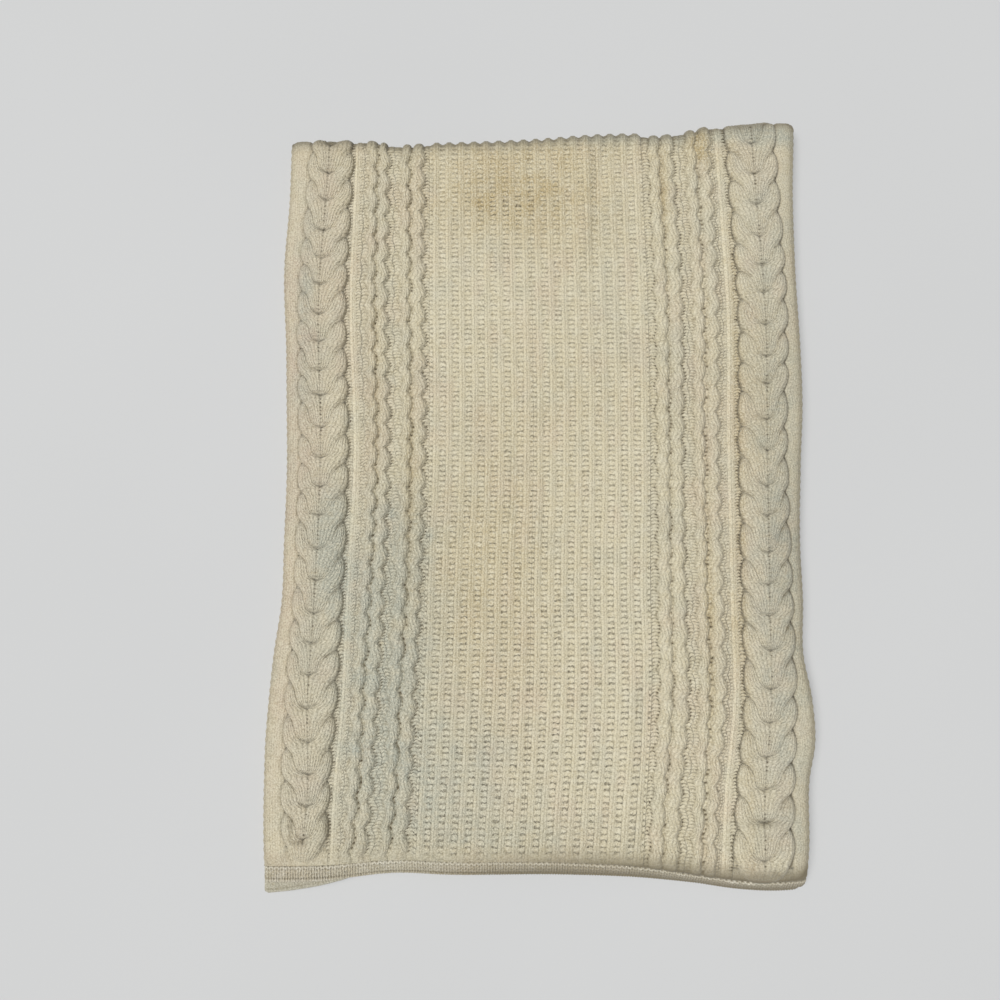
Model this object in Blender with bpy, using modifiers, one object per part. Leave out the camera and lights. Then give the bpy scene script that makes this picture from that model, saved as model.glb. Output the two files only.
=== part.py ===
"""Knit scarf, folded in half twice and lying flat: four layers in all.

The frame: +X runs across the scarf, +Y along it towards the outer fold, +Z is up. The origin
is the middle of the footprint, on the surface that the scarf lies on.

The layers, from the surface up:
    1  bottom stretch, which goes on into the outer fold
    2  third stretch, joined to the first by the near fold
    3  second stretch, joined to the third by the inner fold, with the lower hem at its end
    4  top stretch, from the outer fold to the upper hem
Layers 1 to 3 share one solid, grooved between the layers. Layer 4 is a wall of cloth with the
outer fold on it, and each free end has a hem band of its own.
"""

import math
from typing import NamedTuple

import bmesh
import bpy
import numpy as np

# ---------------------------------------------------------------- driving sizes, metres
HALF_WIDTH = 0.1525         # half the knitted width
CLOTH = 0.0028              # thickness of one layer, lying under its own weight
GAP = 0.0003                # clearance at a seam, and between one piece and the next
HEM_DEPTH = 0.0090          # depth of a hem band
LAYERS_UNDER = 3            # layers in the hidden solid

SAG = 0.0005                # the top layer's selvedges sag by this much
ROLL = 0.0060               # the top layer starts to turn down this far from its hem seam
SEAM_STEP = 0.0005          # length of the last span at each side of the seam
RELIEF_FADE = 0.0080        # the raised columns die away over this distance from the seam
EDGE_ROUND = 0.0007         # rounding of a wall's own edges

STACK = CLOTH * LAYERS_UNDER
TOP_FLOOR = STACK + 3 * GAP + CLOTH / 2 + SAG   # middle of the top layer's wall
FOLD_RADIUS = (TOP_FLOOR - CLOTH / 2) / 2       # middle of the wall, round the outer fold
SEAM_GAP = GAP + 0.0002                         # at the middle of the wall, so GAP stays inside

ROWS = 18                   # spans along the flat part of the top layer
ROLL_STEPS = 3              # spans over the roll before the hem seam
FOLD_STEPS = 6              # spans round the outer fold
HEM_STEPS = 5               # spans over the depth of the upper hem band

TUCKS = (0.0016, 0.0027, 0.0012)    # layers 1 to 3 lie this far inside the top one's selvedges
CORNER = 0.0050                     # corner radius of the hidden layers
CORNER_STEPS = 3
SIDE_STEPS = 12                     # spans along each long side of the hidden layers
BULGE_STEPS = 3                     # spans over the thickness of one hidden layer
STEP_HEIGHT = 0.0001                # rise between the rings at each side of a groove
NOSE_BACK = 0.0022                  # the inner fold's nose starts this far behind the axis
NOSE_REACH = 0.0040                 # ... and sticks out by this much

STATIONS = (0.182, 0.023, -0.120, -0.202)       # Y of the four sections in KNIT_LINES
NEAR_END, FAR_END = -0.212, 0.212               # Y where the columns meet the hems and the fold


class Selvedge(NamedTuple):
    """How far the two selvedges wander out of straight at one place along the scarf."""

    y: float
    left_out: float
    right_out: float


SELVEDGES = (
    Selvedge(0.225, -0.0035, 0.0035),
    Selvedge(0.176, -0.0032, 0.0010),
    Selvedge(0.132, -0.0005, 0.0018),
    Selvedge(0.083, -0.0026, 0.0032),
    Selvedge(0.050, -0.0034, 0.0032),
    Selvedge(0.017, -0.0045, 0.0010),
    Selvedge(-0.035, -0.0040, -0.0012),
    Selvedge(-0.064, -0.0036, -0.0008),
    Selvedge(-0.095, 0.0002, -0.0016),
    Selvedge(-0.120, 0.0023, 0.0025),
    Selvedge(-0.146, 0.0037, 0.0030),
    Selvedge(-0.162, 0.0037, -0.0004),
    Selvedge(-0.202, 0.0028, -0.0024),
    Selvedge(-0.225, 0.0012, -0.0050),
)


class FoldEdge(NamedTuple):
    """How far the outer fold reaches at one place across the scarf."""

    x: float
    y: float


FOLD_EDGES = (
    FoldEdge(-0.152, 0.2120),
    FoldEdge(-0.135, 0.2146),
    FoldEdge(-0.107, 0.2133),
    FoldEdge(-0.086, 0.2092),
    FoldEdge(-0.052, 0.2127),
    FoldEdge(0.001, 0.2153),
    FoldEdge(0.045, 0.2184),
    FoldEdge(0.074, 0.2164),
    FoldEdge(0.105, 0.2214),
    FoldEdge(0.135, 0.2243),
    FoldEdge(0.156, 0.2243),
)


class HemPlace(NamedTuple):
    """The free ends at one place across the scarf.

    seam_y is where the upper band joins on. The cloth has turned down by seam_tilt degrees
    there, and by edge_tilt at the band's edge. lower_edge_y is where the lower band ends,
    and near_fold_y where the fold between layers 1 and 2 does.
    """

    x: float
    seam_y: float
    seam_tilt: float
    edge_tilt: float
    lower_edge_y: float
    near_fold_y: float


HEM_PLACES = (
    HemPlace(-0.156, -0.2110, 1, 2, -0.2246, -0.2180),
    HemPlace(-0.136, -0.2110, 1, 4, -0.2236, -0.2170),
    HemPlace(-0.118, -0.2105, 4, 16, -0.2130, -0.2080),
    HemPlace(-0.104, -0.2092, 9, 42, -0.2060, -0.2066),
    HemPlace(-0.086, -0.2078, 14, 74, -0.2050, -0.2060),
    HemPlace(-0.050, -0.2090, 16, 80, -0.2055, -0.2065),
    HemPlace(0.010, -0.2098, 20, 92, -0.2058, -0.2070),
    HemPlace(0.062, -0.2126, 30, 108, -0.2080, -0.2100),
    HemPlace(0.086, -0.2154, 36, 112, -0.2108, -0.2128),
    HemPlace(0.112, -0.2190, 38, 112, -0.2144, -0.2164),
    HemPlace(0.152, -0.2198, 36, 108, -0.2152, -0.2172),
)


class KnitLine(NamedTuple):
    """One lengthways line of the knit: its X at the four stations, and its height.

    The columns go from the fold (far) to the hem (near). The height is over the purl ground.
    """

    far: float
    upper: float
    lower: float
    near: float
    height: float


KNIT_LINES = (
    KnitLine(-0.1440, -0.1440, -0.1490, -0.1490, 0.0004),   # left selvedge band
    KnitLine(-0.1395, -0.1404, -0.1446, -0.1441, 0.0002),
    KnitLine(-0.1333, -0.1339, -0.1381, -0.1385, 0.0018),   # left cable, two lobes
    KnitLine(-0.1271, -0.1273, -0.1315, -0.1329, 0.0011),
    KnitLine(-0.1195, -0.1196, -0.1235, -0.1258, 0.0018),
    KnitLine(-0.1120, -0.1119, -0.1156, -0.1187, 0.0001),
    KnitLine(-0.1094, -0.1067, -0.1116, -0.1159, 0.0007),   # left straight rib
    KnitLine(-0.1052, -0.1023, -0.1080, -0.1122, 0.0),
    KnitLine(-0.0999, -0.0974, -0.1034, -0.1078, 0.0011),   # left outer pair of waves
    KnitLine(-0.0968, -0.0945, -0.1000, -0.1050, 0.0002),
    KnitLine(-0.0935, -0.0910, -0.0962, -0.1014, 0.0011),
    KnitLine(-0.0867, -0.0845, -0.0895, -0.0940, 0.0001),
    KnitLine(-0.0800, -0.0780, -0.0829, -0.0873, 0.0011),   # left inner pair of waves
    KnitLine(-0.0769, -0.0745, -0.0792, -0.0844, 0.0002),
    KnitLine(-0.0730, -0.0706, -0.0753, -0.0797, 0.0011),
    KnitLine(-0.0672, -0.0653, -0.0696, -0.0727, 0.0001),
    KnitLine(-0.0450, -0.0440, -0.0480, -0.0510, 0.0006),   # ribbed middle
    KnitLine(-0.0150, -0.0150, -0.0180, -0.0210, 0.0006),
    KnitLine(0.0150, 0.0150, 0.0130, 0.0090, 0.0006),
    KnitLine(0.0440, 0.0450, 0.0440, 0.0390, 0.0006),
    KnitLine(0.0655, 0.0672, 0.0660, 0.0596, 0.0001),
    KnitLine(0.0713, 0.0730, 0.0717, 0.0646, 0.0011),       # right inner pair of waves
    KnitLine(0.0751, 0.0769, 0.0758, 0.0685, 0.0002),
    KnitLine(0.0790, 0.0806, 0.0802, 0.0726, 0.0011),
    KnitLine(0.0867, 0.0876, 0.0873, 0.0805, 0.0001),
    KnitLine(0.0940, 0.0943, 0.0936, 0.0876, 0.0011),       # right outer pair of waves
    KnitLine(0.0975, 0.0978, 0.0971, 0.0908, 0.0002),
    KnitLine(0.1014, 0.1016, 0.1011, 0.0943, 0.0011),
    KnitLine(0.1071, 0.1080, 0.1072, 0.0993, 0.0),
    KnitLine(0.1110, 0.1123, 0.1113, 0.1031, 0.0007),       # right straight rib
    KnitLine(0.1156, 0.1169, 0.1156, 0.1073, 0.0001),
    KnitLine(0.1232, 0.1248, 0.1230, 0.1157, 0.0018),       # right cable, two lobes
    KnitLine(0.1307, 0.1326, 0.1304, 0.1240, 0.0011),
    KnitLine(0.1382, 0.1388, 0.1379, 0.1327, 0.0018),
    KnitLine(0.1456, 0.1451, 0.1454, 0.1413, 0.0002),
    KnitLine(0.1475, 0.1465, 0.1475, 0.1440, 0.0004),       # right selvedge band
)


class Finish(NamedTuple):
    """Colour (linear RGB) and roughness of one node."""

    colour: tuple
    roughness: float


TOP_KNIT = Finish((0.58, 0.52, 0.37), 0.95)
HIDDEN_KNIT = Finish((0.50, 0.45, 0.32), 0.95)
UPPER_BAND = Finish((0.55, 0.49, 0.36), 0.95)
LOWER_BAND = Finish((0.47, 0.43, 0.33), 0.95)


# ---------------------------------------------------------------- lines of the folded scarf
def ease(stops, where):
    """The stop below each place, and how far it is to the next one, eased as 3t^2 - 2t^3."""
    below = np.clip(np.searchsorted(stops, where, side="right") - 1, 0, len(stops) - 2)
    share = np.clip((where - stops[below]) / (stops[below + 1] - stops[below]), 0, 1)
    return below, share * share * (3 - 2 * share)


def read_table(rows, key, column, where):
    """Values of one column of a table at the places given, eased from row to row."""
    rows = sorted(rows, key=lambda row: getattr(row, key))
    stops = np.array([getattr(row, key) for row in rows])
    values = np.array([getattr(row, column) for row in rows])
    below, share = ease(stops, where)
    return values[below] + (values[below + 1] - values[below]) * share


def across(share, y, tuck=0.0):
    """X at a share (0 left, 1 right) of the width, `tuck` inside both selvedges."""
    left = -HALF_WIDTH - read_table(SELVEDGES, "y", "left_out", y) + tuck
    right = HALF_WIDTH + read_table(SELVEDGES, "y", "right_out", y) - tuck
    return left + (right - left) * share


def hem_value(column, x):
    """One column of the free ends' table at X."""
    return read_table(HEM_PLACES, "x", column, x)


def fold_axis(x):
    """Y of the axis that the outer fold turns round."""
    return read_table(FOLD_EDGES, "x", "y", x) - FOLD_RADIUS - CLOTH / 2


def column_x(y, tuck=0.0):
    """X of every column of the cloth, for Y values whose last axis is the columns.

    The columns are the knit lines, with a selvedge at each side that lies `tuck` inside.
    """
    sections = np.array([(line.near, line.lower, line.upper, line.far) for line in KNIT_LINES])
    middle = y[..., 1:-1]
    below, share = ease(np.array(STATIONS[::-1]), middle)
    line = np.broadcast_to(np.arange(len(KNIT_LINES)), middle.shape)
    start = sections[line, below]
    x = start + (sections[line, below + 1] - start) * share
    left = across(0, y[..., :1], tuck)
    right = across(1, y[..., -1:], tuck)
    return np.concatenate((left, x, right), axis=-1)


def columns_at(y):
    """X of every column at one Y."""
    return column_x(np.full(len(KNIT_LINES) + 2, y))


def roll_drop(distance, tilt):
    """How far the cloth is down at a distance before the seam, turning evenly to `tilt`."""
    radius = ROLL / np.sin(tilt)
    run = np.clip(ROLL - distance, 0, ROLL)
    return radius - np.sqrt(radius * radius - run * run)


# ---------------------------------------------------------------- mesh helpers
def new_piece(name, mesh, finish, collection):
    """Link a mesh as one node, with a material of its own."""
    material = bpy.data.materials.new(name + "_finish")
    material.use_nodes = True
    shader = material.node_tree.nodes["Principled BSDF"]
    shader.inputs["Base Color"].default_value = (*finish.colour, 1.0)
    shader.inputs["Roughness"].default_value = finish.roughness
    shader.inputs["Metallic"].default_value = 0.0
    mesh.materials.append(material)
    mesh.shade_smooth()
    piece = bpy.data.objects.new(name, mesh)
    collection.objects.link(piece)
    return piece


def add_wall(name, points, finish, collection):
    """A wall of cloth whose middle is an open surface of rows x columns x 3 points."""
    rows, columns, _ = points.shape
    index = np.arange(rows * columns).reshape(rows, columns)
    corners = (index[:-1, :-1], index[:-1, 1:], index[1:, 1:], index[1:, :-1])
    faces = np.stack(corners, axis=-1).reshape(-1, 4)
    mesh = bpy.data.meshes.new(name)
    mesh.from_pydata(points.reshape(-1, 3).tolist(), [], faces.tolist())
    piece = new_piece(name, mesh, finish, collection)
    wall = piece.modifiers.new("cloth", "SOLIDIFY")
    wall.thickness = CLOTH
    wall.offset = 0.0
    rounding = piece.modifiers.new("soft_edge", "BEVEL")
    rounding.width = EDGE_ROUND
    rounding.segments = 1
    rounding.limit_method = "ANGLE"
    rounding.angle_limit = math.radians(60)
    return piece


# ---------------------------------------------------------------- top layer and hems
def build_upper_layer(collection):
    """The top stretch, from its hem seam to the outer fold and round that to the underside.

    The columns are the knit lines, with a selvedge at each side. The rows are closer over the
    roll near the seam, where the cloth turns down, and even from there to the fold's axis.
    Round the fold each column follows a half circle.
    """
    near_x = columns_at(NEAR_END)
    seam = hem_value("seam_y", near_x)
    axis = fold_axis(columns_at(FAR_END))

    roll = np.linspace(SEAM_GAP + SEAM_STEP, ROLL, ROLL_STEPS)
    near_rows = np.concatenate(([SEAM_GAP / 2], roll))[:, None] + np.zeros_like(near_x)
    share = np.linspace(0, 1, ROWS + 1)[1:, None]
    far_rows = ROLL + (axis - seam - ROLL) * share
    distance = np.concatenate((near_rows, far_rows))
    y = seam + distance
    x = column_x(y)

    height = np.array([-SAG, *(line.height for line in KNIT_LINES), -SAG])
    fade = np.clip(distance / RELIEF_FADE, 0, 1)
    height = np.where(height > 0, height * fade, height)
    z = TOP_FLOOR + height - roll_drop(distance, np.radians(hem_value("seam_tilt", near_x)))
    flat = np.stack((x, y, z), axis=-1)

    turn = np.linspace(0, 1, FOLD_STEPS + 1)[1:, None] * math.pi
    middle = (z[-1] + CLOTH / 2) / 2
    radius = (z[-1] - CLOTH / 2) / 2
    fold_y = axis + radius * np.sin(turn)
    fold_z = middle + radius * np.cos(turn)
    fold_x = np.broadcast_to(x[-1], fold_y.shape)
    fold = np.stack((fold_x, fold_y, fold_z), axis=-1)
    last = fold[-1:] - np.array((0, SEAM_STEP, 0))
    return add_wall("upper_layer", np.concatenate((flat, fold, last)), TOP_KNIT, collection)


def build_upper_hem(collection):
    """The band at the top stretch's free end.

    It goes on from the seam at the cloth's tilt there and turns down evenly over its depth.
    """
    near_x = columns_at(NEAR_END)
    start = np.radians(hem_value("seam_tilt", near_x))
    turn = np.radians(hem_value("edge_tilt", near_x)) - start
    radius = HEM_DEPTH / turn
    steps = np.linspace(0, HEM_DEPTH, HEM_STEPS + 1)[1:]
    depth = np.concatenate(([SEAM_GAP / 2, SEAM_STEP], steps))[:, None]
    tilt = start + turn * depth / HEM_DEPTH

    y = hem_value("seam_y", near_x) - radius * (np.sin(tilt) - np.sin(start))
    sag = np.zeros_like(near_x)
    sag[[0, -1]] = SAG
    z = TOP_FLOOR - sag - roll_drop(0, start) - radius * (np.cos(start) - np.cos(tilt))
    x = column_x(y)
    points = np.stack((x, y, z), axis=-1)[::-1]
    return add_wall("upper_hem", points, UPPER_BAND, collection)


def build_lower_hem(collection):
    """The flat band at layer 3's free end, on the near fold and under the top layer."""
    depth = np.linspace(0, HEM_DEPTH, 3)[:, None]
    y = hem_value("lower_edge_y", columns_at(NEAR_END)) + depth
    x = column_x(y, TUCKS[2])
    z = np.full_like(x, STACK - CLOTH / 2 + GAP / 2)
    return add_wall("lower_hem", np.stack((x, y, z), axis=-1), LOWER_BAND, collection)


# ---------------------------------------------------------------- hidden layers
def ellipse_run(z, middle, half_height):
    """Share of its full reach that a round nose has at a height, as sqrt(1 - (dz/h)^2)."""
    return math.sqrt(max(0.0, 1 - ((z - middle) / half_height) ** 2))


def near_end(layer, z, x):
    """Y of a hidden layer's near end: the near fold's nose, or just behind the lower hem."""
    if layer == LAYERS_UNDER:
        return hem_value("lower_edge_y", x) + HEM_DEPTH + GAP
    return hem_value("near_fold_y", x) + CLOTH * (1 - ellipse_run(z, CLOTH, CLOTH))


def far_end(layer, z, x, bulge):
    """Y of a hidden layer's far end: against the outer fold's end, or the inner fold's nose."""
    if layer == 1:
        return fold_axis(x) - SEAM_STEP - GAP - bulge
    return fold_axis(x) - NOSE_BACK + NOSE_REACH * ellipse_run(z, 2 * CLOTH, CLOTH)


def hidden_ring(layer, z, bulge):
    """Points round one level of the hidden layers, anticlockwise from the near left.

    `bulge` is how far the layer's round edge is drawn in at that level. Both ends have the
    cloth's own columns, both sides have even steps, and each corner is a quarter circle.
    """
    tuck = TUCKS[layer - 1] + bulge
    near_x, far_x = columns_at(NEAR_END), columns_at(FAR_END)
    near_y = near_end(layer, z, near_x)
    far_y = far_end(layer, z, far_x, bulge)
    rises = np.linspace(near_y.max() + 2 * CORNER, far_y.min() - 2 * CORNER, SIDE_STEPS + 1)
    near = np.stack((near_x, near_y), axis=-1)[2:-2]
    far = np.stack((far_x, far_y), axis=-1)[2:-2]

    def corner(side, end_y, turn_in):
        angle = math.pi / 2 * (turn_in + np.linspace(0, 1, CORNER_STEPS + 1))
        centre_x = across(side, end_y, tuck) + (1 - 2 * side) * CORNER
        centre_y = end_y - math.copysign(CORNER, end_y)
        return np.stack((centre_x + CORNER * np.cos(angle), centre_y + CORNER * np.sin(angle)), axis=-1)

    def edge(side):
        return np.stack((across(side, rises, tuck), rises), axis=-1)

    plan = np.concatenate((
        near, corner(1, near_y[-3:].max(), -1), edge(1), corner(1, far_y[-3:].min(), 0),
        far[::-1], corner(0, far_y[:3].min(), 1), edge(0)[::-1], corner(0, near_y[:3].max(), 2)))
    return np.column_stack((plan, np.full(len(plan), z)))


def build_hidden_layers(collection):
    """Layers 1 to 3 as one solid: rings of points from the underside up, and two flat caps."""
    rings = []
    for layer in range(1, LAYERS_UNDER + 1):
        for step in range(BULGE_STEPS + 1):
            rise = step / BULGE_STEPS
            bulge = CLOTH / 2 * (1 - ellipse_run(rise, 0.5, 0.56))
            z = CLOTH * (layer - 1 + rise)
            if z == 2 * CLOTH:
                z -= GAP
            if layer > 1 and step == 0:
                z += STEP_HEIGHT
            rings.append(hidden_ring(layer, z, bulge))
    count = len(rings[0])
    points = np.concatenate(rings)
    index = np.arange(len(points)).reshape(len(rings), count)
    onward = np.roll(index, -1, axis=1)
    corners = (index[:-1], onward[:-1], onward[1:], index[1:])
    faces = np.stack(corners, axis=-1).reshape(-1, 4).tolist()
    faces.append(index[0, ::-1].tolist())
    faces.append(index[-1].tolist())
    mesh = bpy.data.meshes.new("hidden_layers")
    mesh.from_pydata(points.tolist(), [], faces)
    work = bmesh.new()
    work.from_mesh(mesh)
    bmesh.ops.recalc_face_normals(work, faces=work.faces)
    work.to_mesh(mesh)
    work.free()
    return new_piece("hidden_layers", mesh, HIDDEN_KNIT, collection)


def main():
    """Clear the file and build the scarf."""
    for leftover in list(bpy.data.objects):
        bpy.data.objects.remove(leftover, do_unlink=True)
    scarf = bpy.data.collections.new("folded_knit_scarf")
    bpy.context.scene.collection.children.link(scarf)
    build_hidden_layers(scarf)
    build_lower_hem(scarf)
    build_upper_layer(scarf)
    build_upper_hem(scarf)


main()
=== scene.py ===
"""Cable-knit scarf, folded in four, lying flat: the visible knit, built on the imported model.

All sizes in this file are in millimetres, in the model's own frame: +X across the scarf,
+Y along it towards the outer fold, +Z up from the surface that it lies on. The mesh maker
turns them into metres. The knit is one surface over the whole width, worked out as arrays of
rows (from the hem seam to the end of the outer fold) by columns (from selvedge to selvedge),
and then cut into strips along its lowest lines, so each strip is a closed piece of cloth.
"""

import logging
from dataclasses import dataclass
from enum import Enum
from typing import NamedTuple, Protocol

import bpy
import numpy as np
from numpy.typing import ArrayLike, NDArray
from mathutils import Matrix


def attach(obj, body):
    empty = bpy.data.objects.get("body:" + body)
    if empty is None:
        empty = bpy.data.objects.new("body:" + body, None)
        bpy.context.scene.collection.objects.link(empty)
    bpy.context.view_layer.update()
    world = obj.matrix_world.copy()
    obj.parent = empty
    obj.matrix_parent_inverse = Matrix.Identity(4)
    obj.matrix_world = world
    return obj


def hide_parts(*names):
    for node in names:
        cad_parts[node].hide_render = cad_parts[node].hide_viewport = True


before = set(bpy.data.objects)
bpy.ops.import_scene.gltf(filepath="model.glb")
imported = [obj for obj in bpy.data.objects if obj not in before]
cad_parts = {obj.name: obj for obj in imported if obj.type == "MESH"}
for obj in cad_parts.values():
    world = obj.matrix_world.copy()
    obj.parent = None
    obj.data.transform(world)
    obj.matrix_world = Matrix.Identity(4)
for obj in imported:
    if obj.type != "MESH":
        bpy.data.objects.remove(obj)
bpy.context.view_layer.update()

LOG = logging.getLogger("scarf")
Array = NDArray[np.float64]

METRES = 0.001              # one millimetre
CLOTH = 2.8                 # thickness of one layer
HALF_CLOTH = CLOTH / 2
TOP_FLOOR = 11.2            # middle of the top layer's wall, under the purl ground
HEM_DEPTH = 9.0
ROLL = 6.0                  # the top layer turns down over this much before its hem seam
SAG = 0.5                   # fall of the top layer's selvedges
SAG_REACH = 9.0             # how far in from the selvedges it falls
LEAST_TILT = 0.5            # degrees: a seam is never quite level
LOWER_HEM_MIDDLE = 7.15     # middle of the lower hem band's wall
GROUND = 0.02               # no point lies lower than this
CHAIN = 4.6                 # pitch of the loops along an edge of the cloth, two rows
RIBS = 17                   # knit columns of the middle's ribbing
RIB_COLUMNS = 13            # columns of points that draw one rib
END_Y = 212.0               # about where the folded cloth ends, near (negative) and far
LINE_END = 214.0            # the knit's lines run straight past this, at both ends


class Slot(Enum):
    """The record's material slots."""

    TOP = "top_knit"
    UNDER = "under_knit"
    HEM = "hem_knit"
    LOWER_HEM = "lower_hem_knit"


# -------- smooth numbers
def ease(share: Array) -> Array:
    """A soft step from 0 to 1: 3t^2 - 2t^3, flat outside."""
    t = np.clip(share, 0.0, 1.0)
    return t * t * (3.0 - 2.0 * t)


def fading(distance: Array, reach: float) -> Array:
    """1 at an edge, and 0 from the given distance on, along a soft step."""
    return 1 - ease(distance / reach)


def bell(off: Array) -> Array:
    """A bell curve of height 1: exp(-off^2)."""
    return np.exp(-off ** 2)


def swing(turns: Array) -> Array:
    """A cosine that counts whole turns: 1 at each whole number, -1 halfway."""
    return np.cos(2 * np.pi * turns)


def fraction(value: Array) -> Array:
    """The part after the whole number."""
    return value - np.floor(value)


def quarter(share: Array) -> Array:
    """A quarter circle: rises steeply from 0 at 0, and levels out at 1."""
    return np.sqrt(1 - (1 - np.clip(share, 0, 1)) ** 2)


def dome(share: Array) -> Array:
    """Half a parabola: rises evenly from 0 at 0, and levels out at 1."""
    return 1 - (1 - np.clip(share, 0, 1)) ** 2


@dataclass(frozen=True)
class Curve:
    """A value that runs smoothly through its stops, and goes on straight past both ends."""

    stops: tuple[float, ...]
    values: tuple[float, ...]

    def at(self, where: ArrayLike) -> Array:
        """Read the curve.

        A cubic Hermite span joins each stop to the next, with the slope at a stop worked out
        from its neighbours.

        Args:
            where: places along the stops.

        Returns:
            The values there.
        """
        order = np.argsort(self.stops)
        stops, values = np.array(self.stops)[order], np.array(self.values)[order]
        slopes = np.gradient(values, stops)
        place = np.asarray(where, dtype=float)
        inside = np.clip(place, stops[0], stops[-1])
        span = np.clip(np.searchsorted(stops, inside, side="right") - 1, 0, len(stops) - 2)
        size = stops[span + 1] - stops[span]
        t = (inside - stops[span]) / size
        value = (values[span] * (1 + 2 * t) * (1 - t) ** 2
                 + slopes[span] * size * t * (1 - t) ** 2
                 + values[span + 1] * t * t * (3 - 2 * t)
                 + slopes[span + 1] * size * t * t * (t - 1))
        ends = np.where(place < stops[0], slopes[0], slopes[-1])
        return value + ends * (place - inside)


def mottle(x: ArrayLike, y: ArrayLike, size: float, seed: int) -> Array:
    """Uneven values from -1 to 1: random numbers on a square lattice, joined smoothly.

    Args:
        x: places across.
        y: places along.
        size: spacing of the lattice.
        seed: which random lattice.

    Returns:
        The value at each place.
    """
    count = 128
    lattice = np.random.default_rng(seed).uniform(-1, 1, (count, count))
    across, along = np.asarray(x) / size, np.asarray(y) / size
    i, j = np.floor(across).astype(int), np.floor(along).astype(int)
    s, t = ease(across - i), ease(along - j)
    i, j = i % count, j % count
    k, m = (i + 1) % count, (j + 1) % count
    near = lattice[i, j] * (1 - s) + lattice[k, j] * s
    far = lattice[i, m] * (1 - s) + lattice[k, m] * s
    return near * (1 - t) + far * t


def wander(place: Array, size: float, seed: int) -> Array:
    """Uneven values from -1 to 1 along a line: a mottle that depends on one place only."""
    return mottle(place, 0 * place, size, seed)


def flecks(x: Array, y: Array, size: float, seed: int) -> Array:
    """Rounded spots from 0 to 1, longer along than across: the upper half of a mottle."""
    return np.clip(mottle(x, 0.6 * y, size, seed), 0, 1)


def blurred(values: Array, reach: int, axis: int) -> Array:
    """The running mean of 2 * reach + 1 neighbours along one axis, ends repeated.

    Args:
        values: a grid of rows by columns.
        reach: how many neighbours count on each side.
        axis: 0 along the rows' order, 1 across.

    Returns:
        The means, as the same grid.
    """
    pad = [(0, 0)] * values.ndim
    pad[axis] = (reach + 1, reach)
    total = np.cumsum(np.pad(values, pad, mode="edge"), axis=axis)
    size = values.shape[axis]
    upper = np.take(total, np.arange(2 * reach + 1, 2 * reach + 1 + size), axis=axis)
    lower = np.take(total, np.arange(size), axis=axis)
    return (upper - lower) / (2 * reach + 1)


def sunk(height: Array, across: int, along: int) -> Array:
    """How far each place lies below the running mean of its neighbours both ways."""
    return blurred(blurred(height, across, 1), along, 0) - height


def above_ground(points: Array) -> Array:
    """The same points, with those that would sink into the surface below lifted out."""
    lifted = points.copy()
    lifted[..., 2] = np.maximum(points[..., 2], GROUND)
    return lifted


@dataclass(frozen=True)
class Blotch:
    """One soft patch of another tint."""

    x: float
    y: float
    half_x: float
    half_y: float
    strength: float

    def amount(self, x: Array, y: Array) -> Array:
        """A bell over an ellipse."""
        across, along = (x - self.x) / self.half_x, (y - self.y) / self.half_y
        return self.strength * np.exp(-across * across - along * along)


# -------- the folded cloth's lines
STATIONS = (182.2, 113.6, 23.1, -64.0, -120.4, -175.4, -202.4)      # Y of the knit lines' sizes
SIDE_STOPS = (225, 176, 132, 83, 50, 17, -35, -64, -95, -120, -146, -162, -202, -225)       # Y
NEAR_STOPS = (-156, -136, -118, -104, -86, -50, 10, 62, 86, 112, 152)                       # X


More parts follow.
